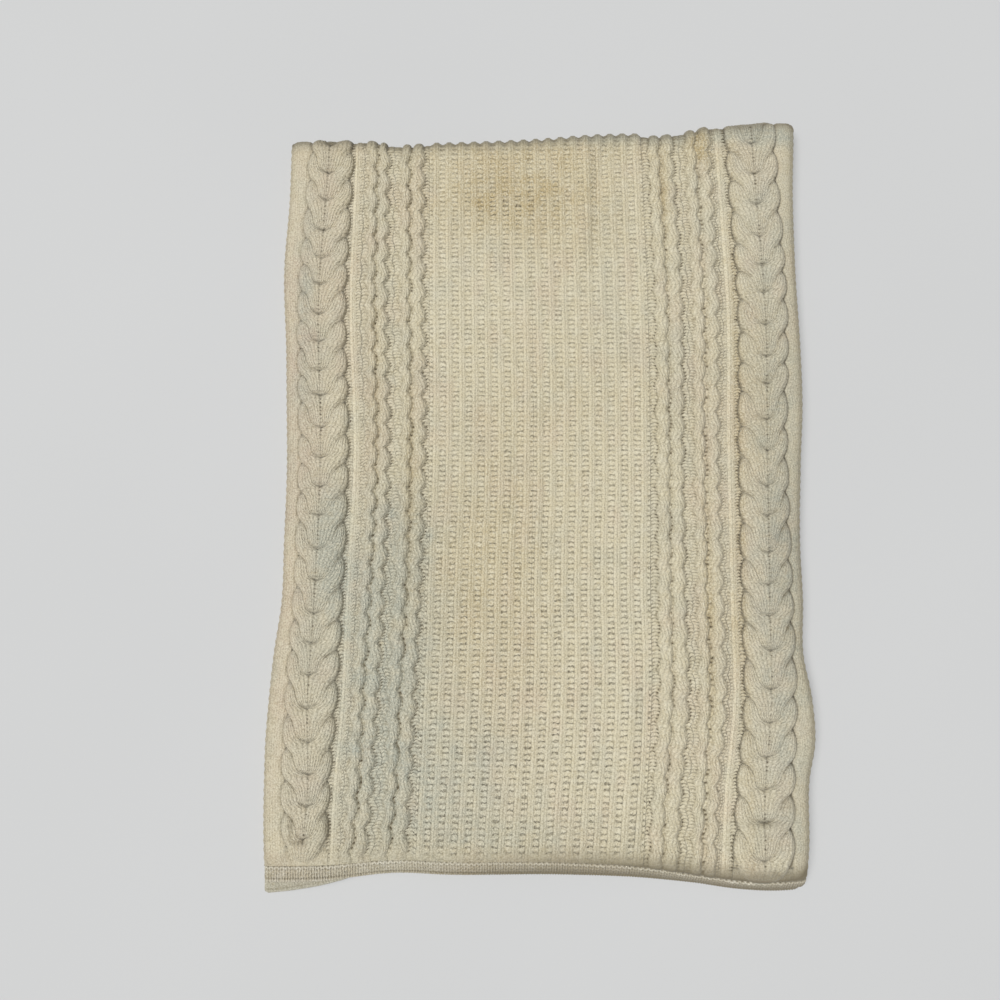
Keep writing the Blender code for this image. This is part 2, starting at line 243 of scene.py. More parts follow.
@dataclass(frozen=True)
class Outline:
    """Where the folded cloth's edges, seam and fold lie."""

    half_width: float = 152.5
    left_out: Curve = Curve(        # how far the left selvedge lies outside the half width
        SIDE_STOPS,
        (-2.4, -2.0, 0.2, -2.3, -3.4, -4.5, -4.0, -3.6, 0.2, 2.3, 3.7, 3.7, 2.8, 1.2))
    right_out: Curve = Curve(
        SIDE_STOPS,
        (4.3, 2.0, 2.0, 3.2, 3.2, 1.0, -1.2, -0.8, -1.6, 2.5, 3.0, -0.4, -2.4, -5.0))
    fold: Curve = Curve(            # Y of the outer fold
        (-152, -144, -134, -124, -105, -94, -81, -66, -47, -8, 45, 59, 74, 84, 108, 127, 137, 146,
         156),
        (214.0, 214.9, 213.2, 212.2, 214.4, 212.8, 211.4, 212.6, 213.4, 214.9, 218.7, 218.8, 217.4,
         218.9, 223.4, 222.9, 224.2, 226.4, 226.8))
    seam: Curve = Curve(            # Y of the seam between the knit and the upper hem band
        (-156, -136, -118, -104, -86, -50, 10, 62, 86, 112, 130, 152),
        (-211.0, -211.0, -210.5, -209.2, -207.8, -208.8, -209.0, -212.2, -215.6, -219.0, -219.8,
         -218.4))
    seam_tilt: Curve = Curve(NEAR_STOPS, (1, 1, 4, 9, 14, 16, 20, 30, 36, 38, 36))      # degrees
    edge_tilt: Curve = Curve(NEAR_STOPS, (2, 4, 16, 28, 36, 34, 38, 48, 60, 54, 50))    # degrees
    lower_edge: Curve = Curve(      # Y of the lower hem band's own edge
        (-156, -136, -118, -106, -97, -86, -50, 10, 62, 86, 112, 152),
        (-227.6, -225.4, -222.0, -218.2, -212.5, -206.5, -205.5, -205.8, -208.0, -210.8, -214.4,
         -215.2))
    near_fold: Curve = Curve(       # Y of the hidden layers' fold, under the hems
        NEAR_STOPS,
        (-218.0, -217.0, -208.0, -206.6, -206.0, -206.5, -207.0, -210.0, -212.8, -216.4, -217.2))

    def left(self, y: ArrayLike) -> Array:
        """X of the left selvedge."""
        return -self.half_width - self.left_out.at(y)

    def right(self, y: ArrayLike) -> Array:
        """X of the right selvedge."""
        return self.half_width + self.right_out.at(y)

    def seam_turn(self, x: ArrayLike) -> Array:
        """Radians that the top layer has turned down where its hem band starts."""
        return np.radians(np.maximum(self.seam_tilt.at(x), LEAST_TILT))

    def fold_axis(self, x: ArrayLike) -> Array:
        """Y of the line that the outer fold turns round."""
        return self.fold.at(x) - (TOP_FLOOR - HALF_CLOTH) / 2 - HALF_CLOTH


@dataclass(frozen=True)
class Crease:
    """A soft lengthways ridge (or trough, where its height is negative) in the top layer."""

    x: float
    y: float
    lean: float         # X gained for each millimetre of Y
    half_length: float
    half_width: float
    height: float

    def rise(self, x: Array, y: Array) -> Array:
        """Height of the crease: a bell across, and a longer one along."""
        off = (x - self.x - self.lean * (y - self.y)) / self.half_width
        along = (y - self.y) / self.half_length
        return self.height * np.exp(-off * off - along ** 4)


# X, Y, lean, half its length and width, height
CREASES = tuple(Crease(*row) for row in (
    (36.0, 172.0, 0.06, 44.0, 5.0, -1.3),
    (28.0, 176.0, 0.05, 40.0, 4.5, 0.6),
    (46.0, 166.0, 0.05, 40.0, 6.0, 0.5),
    (58.5, -160.0, 0.03, 55.0, 4.5, -1.1),
    (50.0, -168.0, 0.02, 46.0, 6.0, 0.6),
    (-13.5, 6.0, -0.02, 40.0, 3.5, -0.6),
    (3.0, -8.0, 0.03, 36.0, 3.5, -0.6),
    (-60.0, 190.0, 0.0, 24.0, 6.0, -0.9),
    (74.0, 196.0, 0.04, 22.0, 6.0, -0.8),
    (-114.0, -26.0, 0.05, 26.0, 5.0, -1.0),
    (-100.0, -60.0, 0.0, 60.0, 12.0, 0.5),
    (120.0, 40.0, 0.0, 70.0, 14.0, 0.5),
    (104.0, -150.0, 0.0, 50.0, 10.0, 0.4),
))


# -------- knits
class Patch(NamedTuple):
    """One knit's share of the surface: arrays of rows by columns."""

    share: Array        # 0 at its left line, 1 at its right line
    across: Array       # millimetres from the left line
    width: Array        # millimetres between the two lines
    along: Array        # millimetres along the cloth, growing towards the fold


class Relief(NamedTuple):
    """What a knit does to the surface, and where its stitches are."""

    height: Array                   # over the purl ground
    wale: Array                     # counts legs of stitches across
    course: Array                   # counts rows of stitches along
    bars: Array | float = 0.0       # 1 where rows show as purl bars, 0 where legs show
    crisp: Array | float = 0.4      # how strongly single stitches show, in bump and in painted shade in their grooves
    gap: Array | float = 0.0        # painted shade in narrow gaps
    dots: Array | float = 0.0       # painted shade in a hole once a row


class Knit(Protocol):
    """Anything that shapes one patch."""

    def relief(self, patch: Patch) -> Relief:
        """Shape the patch."""
        ...


def legs_of(wale: Array) -> tuple[Array, Array]:
    """Where each place lies across its leg of a stitch, and the leg's round ridge.

    Args:
        wale: counts legs across.

    Returns:
        The place from 0 to 1, turned round on every second leg, and the root of a half sine.
    """
    leg = fraction(wale)
    mirrored = np.where(np.floor(wale) % 2 == 0, leg, 1 - leg)
    return mirrored, np.sqrt(np.abs(np.sin(np.pi * leg)))


@dataclass(frozen=True)
class PlainKnit:
    """Stockinette: columns of V stitches, each of two legs that lean together."""

    stitch: float = 3.0
    row: float = 2.3
    leg_height: float = 0.18
    lean: float = 0.55
    body: float = 0.5           # height of the band under its stitches
    soft_edge: float = 0.16     # share of the width over which it falls to the ground

    def relief(self, patch: Patch) -> Relief:
        """Legs as round ridges, each stitch swelling once a row, one leg half a turn behind.

        Args:
            patch: the patch to shape.

        Returns:
            Its relief.
        """
        wale = patch.across / self.stitch * 2
        course = patch.along / self.row
        mirrored, ridge = legs_of(wale)
        swell = swing(course + self.lean * mirrored)
        edge = ease(np.minimum(patch.share, 1 - patch.share) / self.soft_edge)
        height = edge * (self.body + self.leg_height * ridge * (1 + 0.45 * swell))
        return Relief(height, wale, course, crisp=0.35)


class Inner(Enum):
    """Which side of a patch faces the middle line of its cable or wave."""

    LEFT = 0
    RIGHT = 1


def turns_at(crossings: Curve, along: Array) -> tuple[Array, Array]:
    """Count crossings along the cloth, a little unevenly.

    Args:
        crossings: Y of the crossings, against their number.
        along: places along the cloth.

    Returns:
        The number of crossings passed on the way down, and its gain for each millimetre.
    """
    order = np.argsort(crossings.values)
    turns = Curve(tuple(np.array(crossings.values)[order]),
                  tuple(np.array(crossings.stops, dtype=float)[order]))
    turn = turns.at(along) + 0.05 * wander(along, 21.0, 11)
    return turn, np.abs(turns.at(along + 1) - turns.at(along - 1)) / 2


class Edge(NamedTuple):
    """One of the two crossing lines beside each place of a cable."""

    off: Array          # millimetres to it
    turn: Array         # how far down it the place is: 0 at its tip, 1 a crossing later
    kept: Array         # share of the relief left there
    firm: Array         # how firmly its crossing is drawn


@dataclass(frozen=True)
class Twist:
    """Half a cable: strands that pass over each other from the outer edge inwards.

    Each crossing has one line, from its tip at the outer edge down and in to the middle, where
    it meets the other half's line as the round bottom of a U. Near the tip the strand above
    the line lies on top. Near the bottom of the U the strand below it does.
    """

    crossings: Curve            # Y of crossings, against their number
    inner: Inner
    last: float = 23.0          # number of the last crossing, where the cable ends
    height: float = 2.8         # rise of a strand
    lift: float = 0.7           # more, where it passes over, and less, where it dives
    radius: float = 4.2         # of a strand's rounded sides
    spread: float = 4.5         # the lift dies away over this much
    legs: int = 5               # legs of stitches on a strand
    leg_depth: float = 0.2
    row: float = 2.35
    waist: float = 0.05         # how far the outer edge draws in at a crossing
    middle: float = 0.9         # share of the relief left halfway down a line
    tip: float = 0.5            # painted shade along a line near its tip
    arc: float = 0.3            # painted shade at the bottom of a U
    rim: float = 0.08           # painted shade along the outer edge
    bottom: float = 0.83        # turn at which a line reaches the middle, as its U's bottom
    stray: float = 0.09         # how far a crossing's line strays from the usual one
    far: float = 40.0           # stands for the distance to a line that isn't there
    seed: int = 5
    line: Curve = Curve((-0.3, -0.1, 0, 0.05, 0.12, 0.2, 0.3, 0.5, 0.62, 0.74, 0.83, 0.95),
                        (1.5, 1.2, 1, 0.86, 0.74, 0.63, 0.54, 0.44, 0.38, 0.25, 0, -0.6))
    over_drop: Curve = Curve((-0.3, -0.1, 0.0, 0.12, 0.3, 0.5, 0.65, 0.75, 0.83, 1.0),
                             (0.0, 0.3, 0.55, 0.6, 0.5, 0.4, 0.32, 0.35, 0.45, 0.4))
    under_drop: Curve = Curve((-0.2, 0.0, 0.12, 0.3, 0.5, 0.65, 0.75, 0.83, 1.0),
                              (0.0, 0.35, 0.2, 0.05, 0.0, 0.1, 0.3, 0.45, 0.4))
    tip_drawn: Curve = Curve((-0.2, -0.08, 0.0, 0.07, 0.14, 0.2, 0.28, 0.38, 0.5, 0.8),
                             (0.0, 0.1, 0.35, 0.75, 1.0, 0.95, 0.5, 0.12, 0.0, 0.0))

    def drawn_line(self, turn: Array, number: Array) -> Array:
        """A crossing's line as a share of the width, each a little further in or out."""
        own = wander(number, 1.0, self.seed + 4)
        middle = np.sin(np.pi * np.clip(turn / self.bottom, 0, 1))
        return self.line.at(turn) + self.stray * own * middle

    def strength(self, number: Array) -> Array:
        """How firmly each crossing is drawn, from about 0.45 to 1.45."""
        return 0.95 + 0.5 * wander(number, 1.0, self.seed + 5)

    def beyond(self, turn: Array, number: Array, place: Array, width: Array,
               rate: Array) -> Array:
        """Millimetres from a crossing's line: the miss across, over the line's steepness.

        Args:
            turn: how far down the line each place is.
            number: number of the crossing.
            place: 0 at the cable's middle, 1 at its outer edge.
            width: millimetres between the two.
            rate: crossings for each millimetre along.

        Returns:
            The distances, negative on the line's upper side.
        """
        small = 0.01
        line = self.drawn_line(turn, number)
        slope = (self.drawn_line(turn + small, number) - line) / small
        return (place - line) / np.hypot(1 / width, slope * rate)

    def kept(self, turn: Array, number: Array) -> Array:
        """Share of the relief left along a line: all at its tip and the bottom of its U."""
        lost = (1 - self.middle) * ease((turn - 0.16) / 0.2) * ease((0.8 - turn) / 0.2)
        return (1 - lost) * (number < self.last)

    def edges(self, since: Array, number: Array, place: Array, width: Array,
              rate: Array) -> tuple[Edge, Edge, Array]:
        """The two lines that bound the strand at each place.

        A place above the last crossing's line has that line below it, and no other near
        enough to count. Elsewhere the last crossing's line is above, and the next one's below.

        Args:
            since: turn since the last crossing.
            number: number of the last crossing.
            place: 0 at the cable's middle, 1 at its outer edge.
            width: millimetres between the two.
            rate: crossings for each millimetre along.

        Returns:
            The line below, the line above, and where the place is above the last line.
        """
        upper = self.beyond(since, number, place, width, rate)
        lower = self.beyond(since - 1, number + 1, place, width, rate)
        older = upper < 0
        above = Edge(np.where(older, self.far, upper), since, self.kept(since, number),
                     self.strength(number))
        below = Edge(np.where(older, -upper, -lower), np.where(older, since, since - 1),
                     np.where(older, above.kept, self.kept(since - 1, number + 1)),
                     np.where(older, above.firm, self.strength(number + 1)))
        return below, above, older

    def side(self, edge: Edge, drop: Curve) -> Array:
        """Share of the height left beside a line, where the strand rounds off."""
        depth = np.clip(drop.at(edge.turn) * edge.kept, 0, 1)
        return 1 - depth * (1 - dome(edge.off / self.radius))

    def step(self, edge: Edge) -> Array:
        """Share of the lift beside a line, positive where the strand above it is on top.

        Args:
            edge: the line.

        Returns:
            None at the line, most just beside it, dying away further off.
        """
        on_top = 1 - 1.5 * ease((edge.turn - 0.42) / 0.34)
        return on_top * edge.kept * ease(edge.off / 1.1) * np.exp(-edge.off / self.spread)

    def dark(self, edge: Edge) -> Array:
        """Painted shade beside a line: a narrow bell near its tip, and a wider one round its U.

        Args:
            edge: the line.

        Returns:
            The darkness, none where the line is past the cable's end.
        """
        tip = self.tip * np.clip(self.tip_drawn.at(edge.turn), 0, 1) * bell(edge.off / 0.65)
        arc = self.arc * ease((edge.turn - 0.55) / 0.24) * bell(edge.off / 0.9)
        return np.maximum(tip, arc) * (edge.kept > 0) * edge.firm

    def limit(self, since: Array, past: Array) -> Array:
        """Share of the width that the cable fills.

        It draws in a little at each crossing, and closes as an ellipse at its end.

        Args:
            since: turn since the last crossing.
            past: turns past the cable's last crossing.

        Returns:
            1 at its widest, 0 past its end.
        """
        near_tip = (bell(since / 0.12) + bell((1 - since) / 0.12)) * (1 - ease((past + 0.5) / 0.2))
        closed = np.clip((past + 0.48) / 0.95, 0, 1)
        return np.sqrt(1 - closed ** 2) - self.waist * near_tip

    def relief(self, patch: Patch) -> Relief:
        """Round the strands off against both lines and the outer edge, and draw their legs.

        Args:
            patch: the patch to shape.

        Returns:
            Its relief.
        """
        place = patch.share if self.inner is Inner.LEFT else 1 - patch.share
        from_middle = place * patch.width
        turn, rate = turns_at(self.crossings, patch.along)
        turn = turn + 0.03 * mottle(patch.along, place * 2.0, 6.0, self.seed + 1)
        since, number, past = fraction(turn), np.floor(turn), turn - self.last
        below, above, older = self.edges(since, number, place, patch.width, rate)
        body = self.side(below, self.over_drop) * self.side(above, self.under_drop)
        outer = (self.limit(since, past) - place) * patch.width
        edge = 0.5 * quarter(outer / self.radius) + 0.5 * dome(outer / self.radius)
        height = edge * (self.height * body + self.lift * (self.step(below) - self.step(above)))

        line = np.clip(self.drawn_line(since, number), 0, 1)
        share = np.where(older, place / np.maximum(line, 0.05),
                         (place - line) / np.maximum(1 - line, 0.05))
        mirrored, ridge = legs_of(share * self.legs)
        groove = (1 - ridge) * (0.3 + 0.7 * ease(from_middle / 1.4))
        course = patch.along / self.row
        swell = swing(course + 0.5 * mirrored)
        height = height - edge * self.leg_depth * (groove - 0.5 * swell * (1 - groove))
        wale = (share + np.where(older, 0.0, 1.0) + number) * self.legs

        # painted shade along the crossings' lines, round the outer edge and in holes down the
        # middle
        ends = 1 - ease(past / 0.1)
        uneven = 0.8 + 0.4 * mottle(patch.along, place * 9, 2.6, self.seed + 2)
        lines = np.maximum(self.dark(below), self.dark(above)) * ease(outer / 0.8) * uneven * ends
        rim = bell(outer / (0.7 + 0.6 * self.rim)) * ends
        kept_dots = np.clip(0.8 + 0.6 * wander(patch.along, 2.8, self.seed + 3), 0, 1)
        dots = bell(from_middle / 0.7) * ends * kept_dots
        dots = np.maximum(dots, (0.3 + self.rim) * rim)
        gap = np.maximum(lines, np.maximum(self.rim * rim, 0.12 * dots))
        return Relief(height, wale, course, crisp=0.7, gap=gap, dots=dots)


@dataclass(frozen=True)
class Cord:
    """Half a wave pair: one round cord. Its two lines sway, and it only fills them."""

    crossings: Curve            # Y of crossings, against their number
    height: float = 1.9
    legs: int = 3               # legs of stitches across it
    leg_depth: float = 0.16
    row: float = 2.35
    shade: float = 0.16         # painted shade on its right-hand side, which faces away from the light
    seed: int = 11

    def relief(self, patch: Patch) -> Relief:
        """A flattened half ellipse across, which swells and thins with its crossings.

        Args:
            patch: the patch to shape.

        Returns:
            Its relief.
        """
        turn, _ = turns_at(self.crossings, patch.along)
        since = fraction(turn + 0.2 * (0.5 - patch.share))
        swell = 0.12 * swing(since - 0.72)
        profile = np.maximum(1 - np.abs(2 * patch.share - 1) ** 2.2, 0) ** 0.62
        wale = (patch.share + 0.22 * np.sin(2 * np.pi * since)) * self.legs
        _, ridge = legs_of(wale)
        height = profile * (self.height * (1 + swell) - self.leg_depth * (1 - ridge))
        course = patch.along / self.row
        to_right = (1 - patch.share) * patch.width
        kept = ease(0.62 + 1.1 * wander(np.floor(course), 1.0, self.seed))
        bulge = 0.4 + 0.6 * np.sin(np.pi * since) ** 2
        knot = bell((fraction(turn + 0.3) - 0.5) / 0.16)
        # painted shade: holes down its left line, and dots and a soft band along its right-hand
        # side
        dots = 0.35 * bell(patch.across / 0.5)
        dots += 1.1 * bell(to_right / (0.7 + 0.7 * knot)) * kept * bulge
        gap = self.shade * bell(to_right / 1.1) * (0.6 + 0.6 * bulge)
        return Relief(height, wale, course, crisp=0.72, gap=gap, dots=dots)


@dataclass(frozen=True)
class Eyelets:
    """The narrow sunken line between two cords: gaps painted dark as shade, with a few threads
    across.
    """

    crossings: Curve            # Y of crossings, against their number
    depth: float = 0.5
    row: float = 2.5            # pitch of the threads
    seed: int = 17

    def relief(self, patch: Patch) -> Relief:
        """Threads as narrow bars, some of them missing, over a sunken floor.

        Args:
            patch: the patch to shape.

        Returns:
            Its relief.
        """
        turn, _ = turns_at(self.crossings, patch.along)
        row = patch.along / self.row + 0.4 * wander(patch.along, 7.0, self.seed)
        drawn = 0.5 + 0.5 * wander(np.floor(row), 1.0, self.seed + 1)
        near = 0.5 + 0.5 * swing(fraction(turn) - 0.7)
        thread = (0.5 + 0.5 * swing(row)) ** 0.8
        thread = thread * (0.25 + 0.75 * ease(drawn + 0.35 * near))
        across = 1 - (2 * patch.share - 1) ** 4
        floor = -self.depth * (1 - thread) * across
        # painted shade in the gaps between the threads, in dashes
        dash = ease(0.5 + 2.2 * mottle(patch.along, 1.6 * patch.share, 2.1, self.seed + 2))
        low = 0.85 + 0.35 * ease((-110 - patch.along) / 60)
        gap = (0.04 + 0.8 * dash * (0.7 + 0.3 * near)) * (1 - 0.75 * thread) * low
        return Relief(floor + 0.5 * thread * (1 - 0.5 * dash), patch.share, row, crisp=0.2,
                      gap=gap * (0.4 + 0.6 * across),
                      dots=(0.2 + 0.8 * dash) * (0.7 + 0.3 * across))


def rows_passed(pitch: Curve, along: Array) -> Array:
    """Rows of stitches up to each place: the running sum of 1 / pitch along the cloth.

    Args:
        pitch: spacing of the rows, against the place along the cloth.
        along: places along the cloth.

    Returns:
        The counts, from below the cloth's near end.
    """
    step = 0.5
    steps = np.arange(-260.0, 290.0, step)
    return np.interp(along, steps, np.cumsum(step / pitch.at(steps)))


@dataclass(frozen=True)
class Ribbing:
    """Ribs of one knit column, two legs wide, between purl columns like small ladders."""

    purl: float = 0.25          # half the purl column's share of one rib
    rise: float = 0.5           # height of a knit column
    bar: float = 0.18           # height of a purl bar
    dent: float = 0.16          # depth between two bars
    knuckle: float = 1.2        # how much further the columns stand out round the outer fold
    worn: Blotch = Blotch(0.36, 172, 0.2, 9, 1.3)       # deeper dents there, by share and Y
    pitch: Curve = Curve((-212, -190, -150, -110, -60, 0, 60, 120, 180, 225),
                         (3.42, 3.40, 3.30, 3.18, 3.05, 2.98, 2.92, 2.92, 2.95, 2.98))

    def relief(self, patch: Patch) -> Relief:
        """Two round legs over the knit share, and bars with narrow dents over the purl share.

        Args:
            patch: the patch to shape.

        Returns:
            Its relief.
        """
        count = patch.share * RIBS + 0.05 * wander(patch.along, 30.0, 20)
        rib = np.floor(count + 0.5)
        off = count - rib                                   # -0.5 to 0.5, 0 in the purl column
        course = rows_passed(self.pitch, patch.along)
        course = course + 0.16 * mottle(rib * 7.3, patch.along, 26.0, 21)
        course = course + 0.10 * mottle(rib * 5.1, patch.along, 5.0, 24)
        purl = np.clip(off / self.purl, -1, 1)
        ladder = fraction(course + 0.10 * (1 - purl ** 2))
        strength = 0.75 + 0.35 * mottle(rib * 3.7, np.floor(course), 1.0, 22)
        near_hem = 0.5 + 0.46 * ease((140 - patch.along) / 330)
        near_hem = near_hem * (1 + self.worn.amount(patch.share, patch.along))
        strength = np.clip(strength * near_hem, 0.12, 1.2)
        bar = self.bar * (0.5 + 0.5 * swing(ladder)) * (1 - 0.3 * purl ** 2)
        dent = bell((ladder - 0.5) / 0.12) * strength * (1 - purl ** 8)
        knit = (np.abs(off) - self.purl) / (1 - 2 * self.purl)
        knit = np.clip(np.where(off < 0, 1 - knit, knit), 0, 1)      # 0 to 1 over the knit column
        legs = np.sqrt(np.abs(np.sin(2 * np.pi * knit)))
        edge = np.clip(np.sin(np.pi * knit) * 2.0, 0, 1) ** 0.6
        uneven = 1 + 0.3 * mottle(count, patch.along / 9.0, 1.0, 23)
        rib_height = self.rise * edge * (0.74 + 0.26 * legs) * uneven
        in_purl = np.abs(off) <= self.purl
        height = np.where(in_purl, bar - self.dent * dent, rib_height)
        scallop = 0.5 - 0.5 * swing(off)
        height = height + self.knuckle * ease((patch.along - 202) / 12) * scallop ** 0.45
        wale = np.where(in_purl, purl + 1, 2 * knit + 2 * np.sign(off)) + 4 * rib
        # painted shade in the dents between the purl bars and beside the knit columns
        ends = bell((np.abs(purl) - 0.7) / 0.3)
        gap = np.where(in_purl, dent * (0.04 + 0.1 * ends), 0.06 * (1 - legs))
        rim = bell((np.abs(off) - self.purl) / 0.035)
        spot = 0.5 + 0.5 * mottle(count * 2, patch.along / 2.4, 1.0, 25)
        gap = np.maximum(gap, 0.05 * rim * spot) + 0.03
        crisp = np.where(in_purl, 0.35 + 0.6 * strength, 0.1 + 0.42 * np.sin(np.pi * knit))
        dots = np.where(in_purl, 0.8 * ends * strength, 0.0)
        return Relief(height, wale, course, in_purl * 1.0, crisp, gap, dots)


@dataclass(frozen=True)
class PurlKnit:
    """Purl columns: rows of small arcs lying across, each column with its own pitch."""

    pitches: tuple[float, ...]                  # spacing of the rows, column by column
    bump: float = 0.22
    dent: float = 0.28
    spots: tuple[float, float] = (0.4, 0.4)     # painted shade in spots along its left and right lines
    spot_row: float = 2.0                       # their pitch
    seed: int = 31

    def relief(self, patch: Patch) -> Relief:
        """Arcs as cosines along, bent across their column, with a few deeper dents.

        Args:
            patch: the patch to shape.

        Returns:
            Its relief.
        """
        count = len(self.pitches)
        column = np.clip(patch.share * count, 0, count - 1e-6)
        number = np.floor(column).astype(int)
        off = column - number - 0.5
        pitch = np.array(self.pitches)[number]
        jitter = 0.3 * mottle(patch.along, number * 5.7, 9.0, self.seed)
        course = patch.along / pitch + 0.37 * number + jitter
        bend = course - 0.3 * np.cos(np.pi * off)
        arc = 0.5 + 0.5 * swing(bend)
        drawn = ease(0.5 + mottle(np.floor(bend), number * 3.0, 1.0, self.seed + 2))
        edge = 1 - 0.8 * np.abs(2 * off) ** 2.5
        height = edge * (self.bump * arc - self.dent * drawn * (1 - arc) ** 3)
        # painted shade in the dents between the arcs, and in spots beside the lines
        gap = 0.1 + 0.16 * drawn * (1 - arc) ** 2
        dots = 0.4 * drawn * (2 * np.abs(off)) ** 2
        for side, amount in zip((patch.share, 1 - patch.share), self.spots):
            row = patch.along / self.spot_row + 0.5 * wander(patch.along, 8.0, self.seed + 5)
            kept = ease(1.3 * wander(np.floor(row), 1.0, self.seed + 6) + 0.5)
            spot = (0.5 - 0.5 * swing(row)) * kept
            near = bell((side * patch.width - 0.6) / 0.6)
            gap = np.maximum(gap, amount * near * (0.1 + 0.55 * spot))
            dots = np.maximum(dots, 1.1 * amount * near)
            height = height - 0.5 * amount * near * spot
        return Relief(height, column * 2, bend, bars=1.0, crisp=0.4, gap=gap, dots=dots)


@dataclass(frozen=True)
class StraightRib:
    """One knit column between purl columns: two round legs side by side."""

    rise: float = 0.5
    row: float = 2.3
    spot_row: float = 1.85      # pitch of the painted shade's dots in the groove

    def relief(self, patch: Patch) -> Relief:
        """Two half waves across, on a rounded body, and a groove between with painted shade in
        dots.

        Args:
            patch: the patch to shape.

        Returns:
            Its relief.
        """
        legs = np.sqrt(np.abs(np.sin(2 * np.pi * patch.share)))
        edge = np.sin(np.pi * patch.share)
        course = patch.along / self.row
        spot = (0.5 + 0.5 * swing(patch.along / self.spot_row)) * (1 - legs) ** 2
        return Relief(edge * self.rise * (0.66 + 0.34 * legs), patch.share * 2, course,
                      crisp=0.45 * edge, gap=0.25 * spot * edge)


# -------- the knit's plan
CABLE_COUNTS = tuple(number - 0.18 for number in range(1, 24))
LEFT_CABLE = Curve(
    CABLE_COUNTS,
    (192.0, 174.0, 155.8, 138.9, 122.2, 105.0, 87.9, 69.8, 54.7, 36.2, 19.0, 1.9, -15.6,
     -34.2, -52.6, -71.4, -89.0, -105.8, -124.8, -143.6, -161.2, -179.0, -197.0))
RIGHT_CABLE = Curve(
    CABLE_COUNTS,
    (210.8, 191.7, 172.0, 152.6, 134.6, 117.3, 98.3, 78.8, 61.3, 41.0, 23.1, 2.5, -15.6,
     -36.5, -54.9, -73.1, -92.4, -114.2, -133.1, -151.9, -169.4, -187.8, -207.8))


class Span(NamedTuple):
    """One knit between two of the knit lines, with the number of columns that draw it."""

    to: str                     # name of its right line; its left one is the last span's
    columns: int
    knit: Knit
    shift: float = 0.0          # its right line lies this far right of the named one


class Sway(NamedTuple):
    """How a line of the knit sways with its crossings: rounded, with cusps to the left."""

    crossings: Curve
    reach: float                # negative for cusps to the right
    early: float                # share of a crossing by which its cusps come before

    def at(self, y: Array) -> Array:
        """X gained at each place: the absolute value of a sine, about its mean."""
        turn, _ = turns_at(self.crossings, y)
        return self.reach * (np.abs(np.sin(np.pi * (turn + self.early))) ** 0.9 - 0.66)


class Wave(NamedTuple):
    """Two cords side by side that sway together, with a line of eyelets between them."""

    name: str                               # its lines are NAME_start, NAME_middle, NAME_end
    crossings: Curve
    reaches: tuple[float, float, float]     # sway of its three lines
    columns: tuple[int, int, int]           # of its left cord, its eyelets, its right cord
    seeds: tuple[int, int, int]
    # painted shade on each cord's right-hand side
    shades: tuple[float, float] = (0.16, 0.16)
    gap: tuple[float, float] = (-0.5, 0.5)  # the eyelets' two sides, from the middle line

    def spans(self) -> tuple[Span, Span, Span]:
        """Lay its three parts side by side.

        Returns:
            Its left cord, its eyelets and its right cord.
        """
        left, eyelets, right = (
            Cord(self.crossings, shade=self.shades[0], seed=self.seeds[0]),
            Eyelets(self.crossings, seed=self.seeds[1]),
            Cord(self.crossings, shade=self.shades[1], seed=self.seeds[2]))
        middle, end = f"{self.name}_middle", f"{self.name}_end"
        return (Span(middle, self.columns[0], left, self.gap[0]),
                Span(middle, self.columns[1], eyelets, self.gap[1]),
                Span(end, self.columns[2], right))

    def sways(self) -> dict[str, Sway]:
        """How its three lines sway; the first two come a little early.

        Returns:
            Each line's sway, by its name.
        """
        parts = zip(("start", "middle", "end"), self.reaches, (0.15, 0.2, 0.0))
        return {f"{self.name}_{part}": Sway(self.crossings, reach, early)
                for part, reach, early in parts}


LEFT_OUTER = Wave(
    "left_outer", Curve((1, 10, 19, 27, 29), (193.0, 66.5, -59.5, -176.0, -206.0)),
    reaches=(3.0, 2.3, 3.3), columns=(11, 4, 12), seeds=(11, 17, 12))
LEFT_INNER = Wave(
    "left_inner", Curve((1, 13, 20, 28, 30), (195.5, 26.7, -72.5, -193.0, -223.0)),
    reaches=(2.9, 2.3, 3.2), columns=(11, 4, 13), seeds=(13, 19, 14))
RIGHT_INNER = Wave(
    "right_inner", Curve((1, 9, 21, 28, 30), (203.5, 88.5, -90.0, -195.5, -226.0)),
    reaches=(2.3, 1.7, 2.4), columns=(12, 4, 13), seeds=(15, 21, 16), shades=(0.32, 0.32))
RIGHT_OUTER = Wave(
    "right_outer", Curve((1, 13, 20, 27, 29), (192.0, 16.0, -90.5, -198.5, -229.0)),
    reaches=(2.6, 2.0, 3.2), columns=(12, 6, 12), seeds=(17, 23, 18), shades=(0.32, 0.4),
    gap=(-0.9, 0.8))

SWAYS: dict[str, Sway] = {
    "left_cable_start": Sway(LEFT_CABLE, -2.0, 0.0),
    "left_cable_end": Sway(LEFT_CABLE, 2.0, 0.0),
    "right_cable_start": Sway(RIGHT_CABLE, -2.2, 0.0),
    "right_cable_end": Sway(RIGHT_CABLE, 2.2, 0.0),
    **LEFT_OUTER.sways(), **LEFT_INNER.sways(), **RIGHT_INNER.sways(), **RIGHT_OUTER.sways(),
}

